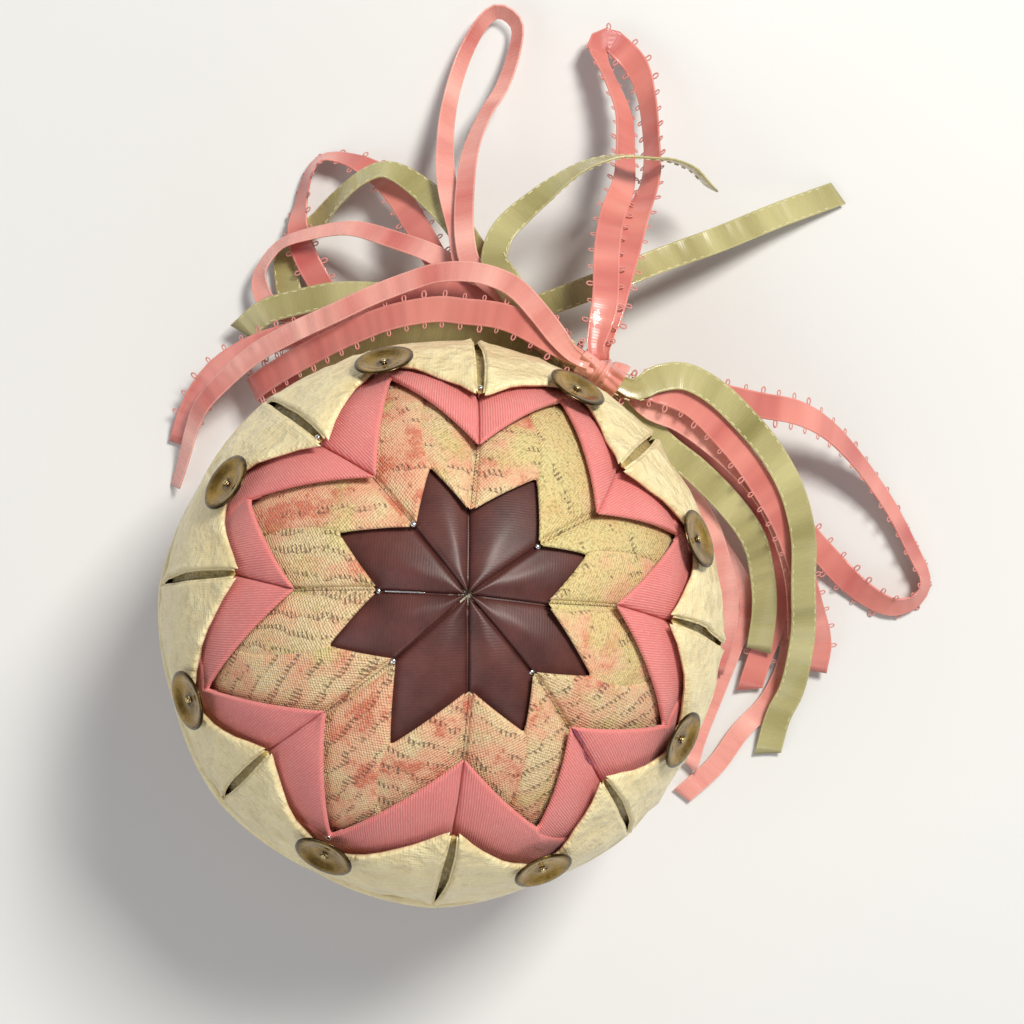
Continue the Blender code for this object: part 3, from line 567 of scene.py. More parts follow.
# place: azimuths at the floral, ribbed and damask edges and at the band, arcs of the three edges,
# and at a join +1 where the piece before lies over the piece after, -1 where it lies under
frontPlaces = (
    ("e", (-5.5, -2.5, -4.5, -6.5), (10.5, 20.7, 29.8), (0, 0, 0)),
    ("ene", (19.5, 18.0, 15.5, 17.0), (17.8, 36.8, 39.7), (-1, 1, 1)),
    ("ne", (35.0, 32.5, 40.0, 41.0), (11.7, 21.9, 29.4), (0, 0, 0)),
    ("nne", (59.0, 63.0, 61.0, 61.5), (19.5, 36.4, 39.5), (1, -1, -1)),
    ("n", (88.0, 84.5, 84.5, 84.0), (11.2, 21.1, 29.6), (0, 0, 0)),
    ("nnw", (105.0, 106.0, 106.5, 106.5), (18.6, 37.7, 40.7), (-1, 1, 1)),
    ("nw", (127.0, 126.5, 131.0, 130.0), (11.4, 20.4, 29.1), (0, 0, 0)),
    ("wnw", (153.0, 153.5, 152.0, 151.5), (19.5, 35.8, 41.2), (1, 1, -1)),
    ("w", (176.5, 177.0, 172.5, 173.5), (11.8, 23.4, 32.1), (0, 0, 0)),
    ("wsw", (199.5, 198.0, 199.0, 197.0), (19.9, 42.9, 46.6), (-1, -1, 1)),
    ("sw", (221.5, 219.0, 217.5, 219.0), (12.7, 24.6, 35.4), (0, 0, 0)),
    ("ssw", (243.0, 241.0, 242.0, 243.0), (22.9, 42.3, 45.9), (1, -1, -1)),
    ("s", (271.0, 269.5, 268.5, 267.5), (12.4, 21.8, 32.7), (0, 0, 0)),
    ("sse", (293.5, 289.5, 288.5, 289.5), (20.2, 36.5, 45.2), (-1, 1, 1)),
    ("se", (311.0, 309.5, 309.0, 310.5), (13.4, 22.8, 32.6), (0, 0, 0)),
    ("ese", (328.5, 330.0, 329.5, 331.0), (20.6, 37.5, 42.0), (1, 1, -1)),
)
backPlaces = tuple(
    (frontPlaces[i][0], (360 / stepsRound * i,) * 4,
     *(((19.5, 37.5, 46.5), (1, -1, 1)) if i % 2 else ((12.0, 22.0, 33.0), (0, 0, 0))))
    for i in range(stepsRound))

# One round of points each: where its cloth lies, how it is folded and how it wrinkles
roundSet = {
    "star": {"edge": 0, "radius": 38.0, "fall": 0.6, "thick": 0.9, "slant": 0.0, "bow": 0.0,
             "tuck": 4.0, "trimmed": 1.0, "slit": 0.07, "lens": 0.0, "hemShow": 0.0,
             "valley": 0.5, "crown": 0.25, "wrinkle": 0.06},
    "floral": {"edge": 1, "radius": 39.1, "fall": 1.35, "thick": 0.95, "slant": 0.5, "bow": 0.2,
               "tuck": 2.6, "trimmed": 0.84, "slit": 0.3, "lens": 0.0, "hemShow": 0.35,
               "valley": 0.4, "crown": 0.25, "wrinkle": 0.1},
    "ribbed": {"edge": 2, "radius": 39.8, "fall": 1.2, "thick": 0.95, "slant": 0.5, "bow": 0.75,
               "tuck": 3.0, "trimmed": 0.84, "slit": 0.06, "lens": 0.0, "hemShow": 0.0,
               "valley": 0.35, "crown": 0.2, "wrinkle": 0.08},
    "damask": {"edge": 3, "radius": 40.6, "fall": 1.3, "thick": 0.95, "slant": 0.2, "bow": 1.8,
               "tuck": 0.0, "trimmed": 0.9, "slit": 0.14, "lens": 0.72, "hemShow": 0.25,
               "valley": -0.35, "crown": 0.1, "wrinkle": 0.55},
}
foldSet = {"reach": 31.75, "cutWide": 63.5, "cutDeep": 38.1, "centreHole": 0.35, "edgeRound": 0.55,
           "bandRound": 0.9, "leafThick": 0.3, "flapUnder": 0.5, "flapLeast": 0.04, "joinLift": 0.3,
           "sideGap": 0.12, "sideUnder": 0.12, "valleyWide": 1.1, "leafWide": 1.3, "hem": 6.3,
           "hemThick": 0.12, "hemDown": 0.03, "hemTail": 0.17}
# how much coral, olive and dashed rows each floral point shows, and how its rows lie in degrees
floralSet = {
    "n": (0.5, 0.35, 0.45, 8), "ne": (0.35, 0.9, 0.0, 20), "e": (0.6, 0.7, 0.1, 70),
    "se": (0.4, 0.3, 0.9, 12), "s": (0.55, 0.1, 1.0, 25), "sw": (0.6, 0.1, 0.9, 84),
    "w": (0.2, 0.25, 0.9, 96), "nw": (0.75, 0.25, 0.15, 40),
}
foldRows = (0, 0.012, 0.03, 0.06, 0.1, 0.16, 0.24, 0.33, 0.42, 0.52, 0.62, 0.72, 0.82, 0.91, 1.0,
            1.12, 1.5, 2.0)
foldColumns = (0, 0.015, 0.04, 0.08, 0.15, 0.26, 0.38, 0.5, 0.62, 0.74, 0.84, 0.91, 0.955, 0.985, 1)
leafColumns = (-1, -0.8, -0.6, -0.4, -0.25, -0.12, -0.05, 0, 0.05, 0.12, 0.25, 0.4, 0.6, 0.8, 1)
hemColumns = (0, 0.06, 0.15, 0.3, 0.5, 0.75, 1)


def cornerSpot(places, edge, index):
    _, azimuths, arcs, _ = places[index % stepsRound]
    arcs = (foldSet["centreHole"], *arcs, ballSet["seamArc"])
    return polar(arcs[edge], math.radians(azimuths[max(0, edge - 1)]))


def edgeSpot(places, edge, step, bow):
    index = math.floor(step)
    share = step - index
    spot = cornerSpot(places, edge, index).lerp(cornerSpot(places, edge, index + 1), share)
    if edge == 4:
        return spot.normalized() * ballSet["seamArc"]
    return spot * (1 + bow * math.sin(math.pi * share) / spot.length)


def chartSpot(places, look, step, along):
    edge = look["edge"]
    nextBow = [row["bow"] for row in roundSet.values()][min(3, edge + 1)]
    start = edgeSpot(places, edge, step, look["bow"])
    if edge == 3:
        return start.lerp(edgeSpot(places, 4, step, 0), min(1.0, along))
    out = edgeSpot(places, edge + 1, step, nextBow)
    end = out * (1 + look["tuck"] / out.length)
    if along <= 1:
        return start.lerp(end, along)
    # the folded cloth goes on out of sight to its straight cut edge
    off = math.atan2(end.y, end.x) - math.radians(look["azimuth"])
    off = (off + math.pi) % fullTurn - math.pi
    reach = (foldSet["reach"] + (look["tipArc"] if edge else 0)) / math.cos(off)
    far = end * (max(reach, end.length + 0.8) / end.length)
    return end.lerp(far, along - 1)


def rimLift(spot, step):
    # the ball is a little angular: out at the slits, in at the sequins
    share = 1 - abs((step % 2) - 1)
    rise = (spot.length - ballSet["rimFrom"]) / (ballSet["seamArc"] - ballSet["rimFrom"])
    rise = min(1.0, max(0.0, rise))
    return ballSet["rimCorner"] * (1 - 2 * share) * rise


def ease(value):
    value = min(1.0, max(0.0, value))
    return value * value * (3 - 2 * value)


def roundness(distance, width):
    if distance >= width:
        return 1.0
    return math.sqrt(max(0.0, 1 - (1 - max(0.0, distance) / width) ** 2))


def wrinkleAt(spot, seed, amount):
    first = noise.noise(Vector((spot.x * 0.16, spot.y * 0.16, seed * 3.7)))
    second = noise.noise(Vector((spot.x * 0.45, spot.y * 0.45, seed * 5.1 + 9)))
    return amount * (first + 0.35 * second)


def openingAt(look, within):
    # half the slit's width; a lens is widest part of the way along
    return look["slit"] + look["lens"] * math.sin(math.pi * min(1, 0.12 + 0.95 * within)) ** 0.8


def slitShare(opening, perStep):
    return min(0.3, max(0.02, opening) / perStep)


def valleyAt(look, fromSlit):
    return look["valley"] * math.exp(-(fromSlit / foldSet["valleyWide"]) ** 2)


def foldedPoint(name, kind, places, index, reach, side):
    look = dict(roundSet[kind])
    edge, thick = look["edge"], look["thick"]
    compass, azimuths, arcs, _ = places[index % stepsRound]
    look["tipArc"] = arcs[max(0, edge - 1)]
    look["azimuth"] = azimuths[max(0, edge - 1)]
    axis = polar(1.0, math.radians(look["azimuth"]))
    seed = index + 20 * edge + (400 if side < 0 else 0)
    shift = Vector((index * 23.0, edge * 31.0 + (200.0 if side < 0 else 0.0)))
    bm = bmesh.new()
    bm.verts.layers.float_color.new("blend")
    # inside: how much painted shade darkens the under-leaf seen in a slit
    bm.verts.layers.float.new("inside")
    layer = bm.loops.layers.uv.new("cloth")
    blend, slant = (0.0, 0.0, 0.0), 0.0
    if kind == "floral":
        *blend, slant = floralSet[compass]
    turned = Quaternion((0, 0, 1), math.radians(slant))

    def stepWidth(along):
        return chartSpot(places, look, index, along).length * fullTurn / stepsRound

    def restHeight(spot, step, within):
        height = look["radius"] - look["fall"] * within + rimLift(spot, step)
        return height + wrinkleAt(spot, seed, look["wrinkle"])

    def addSheet(rows, columns, cell, moved=(0.0, 0.0), inside=0.0):
        # cell gives a spot of the chart and the sheet's outer and inner radius there; inside is how much
        # painted shade darkens the sheet
        top, bottom, uvRows = [], [], []
        for along in rows:
            cells = [cell(along, share) for share in columns]
            top.append([fromHub(onBall(spot, upper, side)) * mm for spot, upper, _ in cells])
            bottom.append([fromHub(onBall(spot, lower, side)) * mm for spot, _, lower in cells])
            uvRow = []
            for spot, _, _ in cells:
                flat = turned @ Vector((spot.x * axis.y - spot.y * axis.x, spot.dot(axis), 0))
                uvRow.append(flat.to_2d() + shift + Vector(moved))
            uvRows.append(uvRow)
        closeGrid(bm, layer, top, bottom, uvRows, (*blend, inside))

    def flapCell(turn):
        over = places[(index + turn) % stepsRound][3][edge - 1] * turn if edge else 0

        def cell(along, share):
            within = min(1.0, along)
            perStep = stepWidth(along)
            slit = slitShare(openingAt(look, within), perStep)
            limit = reach + look["slant"] * within * over
            limit += foldSet["sideUnder"] if over < 0 else -foldSet["sideGap"] / perStep
            step = index + turn * (slit + (limit - slit) * share)
            spot = chartSpot(places, look, step, along)
            fromSide = (1 - share) * (limit - slit) * perStep
            fromSlit = share * (limit - slit) * perStep
            fold = (spot - chartSpot(places, look, step, 0)).length * 0.8 if edge else fromSide + 0.05
            width = foldSet["edgeRound"]
            roll = min(roundness(fold, width), roundness(fromSlit, width * 0.7))
            if edge == 3:
                toBand = (chartSpot(places, look, step, 1.0) - spot).length
                roll = min(roll, roundness(toBand, foldSet["bandRound"]))
            if over >= 0:
                roll = min(roll, roundness(fromSide, width))
            near = ease(1 - fromSide / (3.2 if over > 0 else 2.2))
            base = restHeight(spot, step, within)
            base += foldSet["joinLift"] * over * near * (0.35 + 0.65 * within)
            base -= valleyAt(look, fromSlit) * ease(fold / 1.5)
            base += look["crown"] * math.sin(math.pi * share) * ease(fold / 2.5)
            total = thick if along <= 1 else thick * 0.5
            upper = base + total * (0.5 + 0.5 * roll)
            lip = ease((min(fold, fromSide if over >= 0 else fold) - 0.5 * width) / 0.5)
            low = base + total * 0.5 * (1 - roll)
            lower = low + (foldSet["flapUnder"] * total - low + base) * lip
            return spot, upper, min(lower, upper - foldSet["flapLeast"])

        return cell

    def leafCell(along, share):
        within = min(1.0, along)
        perStep = stepWidth(along)
        across = share * (reach - (foldSet["edgeRound"] / perStep if edge else -0.01))
        spot = chartSpot(places, look, index + across, along)
        deep = look["lens"] * 0.9 + max(0.0, look["valley"])
        deep *= math.exp(-(across * perStep / foldSet["leafWide"]) ** 2)
        base = restHeight(spot, index + across, within)
        base -= deep * ease(along * 8) * ease((1.02 - within) * 8)
        return spot, base + foldSet["leafThick"], base

    def hemCell(turn):
        def cell(along, share):
            within = min(1.0, along)
            perStep = stepWidth(along)
            opening = openingAt(look, within)
            first = slitShare(opening - look["hemShow"], perStep)
            last = min(first + foldSet["hem"] / perStep, reach * 0.9)
            across = first + (last - first) * share
            step = index + turn * across
            spot = chartSpot(places, look, step, along)
            fromSlit = (across - slitShare(opening, perStep)) * perStep
            base = restHeight(spot, step, within) - valleyAt(look, fromSlit) * ease(within * 8)
            high = base + foldSet["hemTail"]
            if along <= 1:
                high = base + foldSet["flapUnder"] * thick - foldSet["hemDown"]
            return spot, high, high - foldSet["hemThick"]

        return cell

    # the last round ends at the band, the others run on under the round outside them
    rows = [along for along in foldRows if edge < 3 or along <= 1]
    leafRows = [along for along in foldRows[3::2] if edge < 3 or along <= 1]
    if edge == 3:
        leafRows.append(1.0)
    for turn in (-1, 1):
        addSheet(rows, foldColumns, flapCell(turn))
    # the under-leaf, seen only in the slit, darkened all over by painted shade
    addSheet(leafRows, leafColumns, leafCell, (7.0, 3.0), 1.0)
    # the hem turned in along the slit, between flap and under-leaf
    for turn in (-1, 1):
        addSheet(rows[2:], hemColumns, hemCell(turn), (3.0, 11.0))
    made = newObject(name, bm, kind)
    wide, deep = foldSet["cutWide"] * mm, foldSet["cutDeep"] * mm
    # what is left of the cut once corners under a neighbour, and cloth past the band, are trimmed off
    left = look["trimmed"]
    if edge == 3:
        left *= min(1.0, ((ballSet["seamArc"] - look["tipArc"]) / foldSet["reach"]) ** 2)
    wide * deep * left
    return made


def roundPiece(name, rings, material):
    # closed rings of points from pole to pole
    bm = bmesh.new()
    layer = bm.loops.layers.uv.new("cloth")
    loops = [[bm.verts.new(point) for point in ring] for ring in rings]
    count = max(len(ring) for ring in loops)
    for a, b in zip(loops, loops[1:]):
        for i in range(count):
            j = (i + 1) % count
            if len(a) == 1:
                bm.faces.new((a[0], b[j], b[i]))
            elif len(b) == 1:
                bm.faces.new((a[i], a[j], b[0]))
            else:
                bm.faces.new((a[i], a[j], b[j], b[i]))
    turnOutwards(bm)
    for face in bm.faces:
        for loop in face.loops:
            loop[layer].uv = (loop.vert.co.x / mm, loop.vert.co.y / mm)
    return newObject(name, bm, material)


def withPoles(rings):
    # a single point in the middle of each end ring closes a piece
    first, last = [[sum(ring, Vector()) / len(ring)] for ring in (rings[0], rings[-1])]
    return [first, *rings, last]


def makeFoam():
    rows, columns = 40, 64
    rings = []
    for i in range(rows + 1):
        angle = math.pi * i / rows
        ring = []
        for j in range(1 if i in (0, rows) else columns):
            azimuth = fullTurn * j / columns
            spot = Vector((math.sin(angle) * math.cos(azimuth), math.sin(angle) * math.sin(azimuth),
                           math.cos(angle))) * ballSet["foam"]
            ring.append(fromHub(spot) * mm)
        rings.append(ring)
    made = roundPiece("ball_foam", rings, "foam")
    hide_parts("ball_body")


makeFoam()
for side, places, label in ((1, frontPlaces, ""), (-1, backPlaces, "back_")):
    for kind in roundSet:
        reach = 2 if kind == "star" else 1
        for index in range(0, stepsRound, 2 * reach):
            node = f"{kind}_point_{places[index][0]}"
            made = foldedPoint("cloth_" + label + node, kind, places, index, reach, side)
            if side > 0:
                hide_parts(node)
print("folded points made")


# Band round the middle, where the front and back points meet
bandSet = {"low": 61.4, "high": 64.2, "inner": 39.3, "outer": 40.95, "sides": 10, "steps": 192,
           "sway": 0.25}


def makeBand():
    middle = (bandSet["low"] + bandSet["high"]) / 2
    wide = (bandSet["high"] - bandSet["low"]) / 2
    centre = (bandSet["inner"] + bandSet["outer"]) / 2
    deep = (bandSet["outer"] - bandSet["inner"]) / 2
    rings = []
    for i in range(bandSet["steps"]):
        step = stepsRound * i / bandSet["steps"]
        onSeam = edgeSpot(frontPlaces, 4, step, 0)
        azimuth = math.atan2(onSeam.y, onSeam.x)
        sway = bandSet["sway"] * noise.noise(Vector((math.cos(azimuth) * 2.5, math.sin(azimuth) * 2.5, 3.0)))
        ring = []
        for k in range(bandSet["sides"]):
            angle = fullTurn * k / bandSet["sides"]
            spot = polar(middle + wide * math.sin(angle) + sway, azimuth)
            lift = rimLift(spot, step)
            ring.append(fromHub(onBall(spot, centre + deep * math.cos(angle) + lift + sway)) * mm)
        rings.append(ring)
    bm = bmesh.new()
    loftRings(bm, rings, True, lambda i, k: (i * 1.3, k * 0.5))
    turnOutwards(bm)
    made = newObject("cloth_middle_band", bm, "damask")
    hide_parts("middle_band")


makeBand()

# Sequins, each held by a pin through its middle; the profile is radius and height
sequinSet = {"seat": 42.05, "inset": 1.7, "thick": 0.14, "pinUp": 0.45, "sides": 40,
             "profile": ((0.55, 0.1), (1.0, 0.04), (1.6, 0.0), (2.2, 0.12), (2.8, 0.36),
                         (3.3, 0.5), (3.8, 0.52), (4.15, 0.4))}


def standingAt(seat):
    # what is set on the ball points straight out from the ball's middle
    up = (seat - hubPlace).normalized()
    return up, Vector((0, 0, 1)).rotation_difference(up)


def makeSequin(index):
    spot = cornerSpot(frontPlaces, 3, index)
    spot *= 1 - sequinSet["inset"] / spot.length
    seat = fromHub(onBall(spot, sequinSet["seat"]))
    up, turn = standingAt(seat)
    profile = sequinSet["profile"]
    section = [(r, z + sequinSet["thick"]) for r, z in profile] + list(profile[::-1])
    rings = []
    for i in range(sequinSet["sides"]):
        angle = fullTurn * i / sequinSet["sides"]
        rings.append([(seat + turn @ Vector((r * math.cos(angle), r * math.sin(angle), z))) * mm
                      for r, z in section])
    bm = bmesh.new()
    loftRings(bm, rings, True, lambda i, k: (i * 0.6, section[k % len(section)][0]))
    turnOutwards(bm)
    name = frontPlaces[index][0]
    made = newObject("sequin_disc_" + name, bm, "sequin")
    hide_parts("sequin_" + name)
    return seat + up * sequinSet["pinUp"], turn @ Vector((1, 0, 0)), up


sequinPins = [makeSequin(index) for index in range(1, stepsRound, 2)]

# Where small pieces meet the cloth of the front
clothPoints, clothFaces = [], []
for made in bpy.data.objects:
    if made.name.startswith("cloth_") and not made.name.startswith("cloth_back_"):
        first = len(clothPoints)
        clothPoints += [vert.co.copy() for vert in made.data.vertices]
        clothFaces += [[first + corner for corner in face.vertices] for face in made.data.polygons]
clothTree = BVHTree.FromPolygons(clothPoints, clothFaces)


def onCloth(spot, sideways):
    # the cloth's outer face over a spot of the chart, the higher of the two sides of a slit
    heights = []
    for turn in (-1, 1):
        beside = spot + Vector((-spot.y, spot.x)).normalized() * sideways * turn
        towards = (fromHub(onBall(beside, 1.0)) - hubPlace).normalized()
        found = clothTree.ray_cast((hubPlace + towards * pinSet["castFrom"]) * mm, -towards)[0]
        heights.append((found / mm - hubPlace).length)
    return hubPlace + (fromHub(onBall(spot, 1.0)) - hubPlace).normalized() * max(heights)


# Small pin heads that show on the cloth: arc and azimuth
pinSet = {"beside": 0.5, "castFrom": 60, "heads": (
    (13.2, 221.5), (42.2, 241.0), (32.0, 84.5), (12.2, 35.0), (13.9, 311.0), (11.9, 127.0),
    (12.3, 176.5), (31.5, 131.0))}
# A pin lies along the star's left slit, and a loose thread along the lower right pink one:
# arcs and azimuths of their two ends, half thickness
lineSet = {"steps": 24, "sides": 8, "beside": 0.35, "sway": 0.35, "lines": (
    ("line_pin", (11.4, 176.5), (5.7, 176.5), 0.14, "silverPin"),
    ("slit_thread", (23.4, 309.5), (31.4, 309.0), 0.16, "slitThread"))}


def makeLine(name, start, end, thick, material):
    rings = []
    for i in range(lineSet["steps"] + 1):
        share = i / lineSet["steps"]
        arc = start[0] + (end[0] - start[0]) * share
        azimuth = start[1] + (end[1] - start[1]) * share
        sway = lineSet["sway"] * math.sin(share * 7) if material == "slitThread" else 0.0
        middle = onCloth(polar(arc, math.radians(azimuth)) + Vector((sway, 0)), lineSet["beside"])
        up = (middle - hubPlace).normalized()
        middle += up * thick * 0.6
        side = up.cross(Vector((1, 0, 0))).normalized()
        size = thick * min(1.0, (lineSet["steps"] + 1 - i) / 5)
        ring = []
        for k in range(lineSet["sides"]):
            angle = fullTurn * k / lineSet["sides"]
            ring.append((middle + (side * math.cos(angle) + up * math.sin(angle)) * size) * mm)
        rings.append(ring)
    roundPiece(name, withPoles(rings), material)


clothPins = []
for arc, azimuth in pinSet["heads"]:
    seat = onCloth(polar(arc, math.radians(azimuth)), pinSet["beside"])
    up, turn = standingAt(seat)
    clothPins.append((seat, turn @ Vector((1, 0, 0)), up))
repeatOn("sequin_pins", "pinHeads", sequinPins, "brassPin", "sequin", radius=0.42, neck=0.16)
repeatOn("cloth_pins", "pinHeads", clothPins, "silverPin", "sequin", radius=0.4, neck=0.14)
for row in lineSet["lines"]:
    makeLine(*row)
print("band, sequins and pins made")

# Knot: turns of ribbon drawn round the bunch
knotSet = {"place": (23.4, 36.8, 28.0), "angle": 147.6, "length": 7.0, "height": 10.2, "depth": 3.3,
           "ridge": 0.5, "pinch": 0.22, "inset": 0.7, "steps": 48, "sides": 96}


def makeKnot():
    rings = []
    turn = Quaternion((0, 0, 1), math.radians(knotSet["angle"]))
    place = Vector(knotSet["place"])
    for i in range(knotSet["steps"] + 1):
        along = i / knotSet["steps"]
        wrap = math.exp(-((along - 0.5) / 0.17) ** 4)
        pinch = 1 - knotSet["pinch"] * math.exp(-((along - 0.5) / 0.3) ** 2)
        ring = []
        for k in range(knotSet["sides"]):
            angle = fullTurn * k / knotSet["sides"]
            pleat = 0.5 * math.sin(7 * angle + 1.5 * along) + 0.28 * math.sin(13 * angle + 2.0 - 3 * along)
            band = 0.22 * math.sin(along * math.pi * 14 + 0.8 * math.sin(angle)) + knotSet["ridge"]
            lift = pleat * (1 - wrap) + band * wrap
            depth = ((knotSet["depth"] - knotSet["inset"]) * pinch + lift) * math.cos(angle)
            height = ((knotSet["height"] - knotSet["inset"]) * pinch + lift) * math.sin(angle)
            ring.append((place + turn @ Vector(((along - 0.5) * knotSet["length"], depth, height))) * mm)
        rings.append(ring)
    made = roundPiece("ribbon_knot", withPoles(rings), "pink")
    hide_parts("bow_knot")


makeKnot()

# Ribbons: where each runs is the same as in its solid
ribbonSet = {"thick": 0.32, "pitch": 1.05, "lowest": 0.8, "knotLowest": 19.0, "sink": 60.0,
             "step": 1.3, "curl": 0.1, "waver": 7.0, "gathered": 8.0, "gather": 0.42, "tuckIn": 0.6,
             "cut": 0.8, "edgeThin": 0.35}
widths = {"green": 4.2, "pink": 3.2, "picot": 4.0}
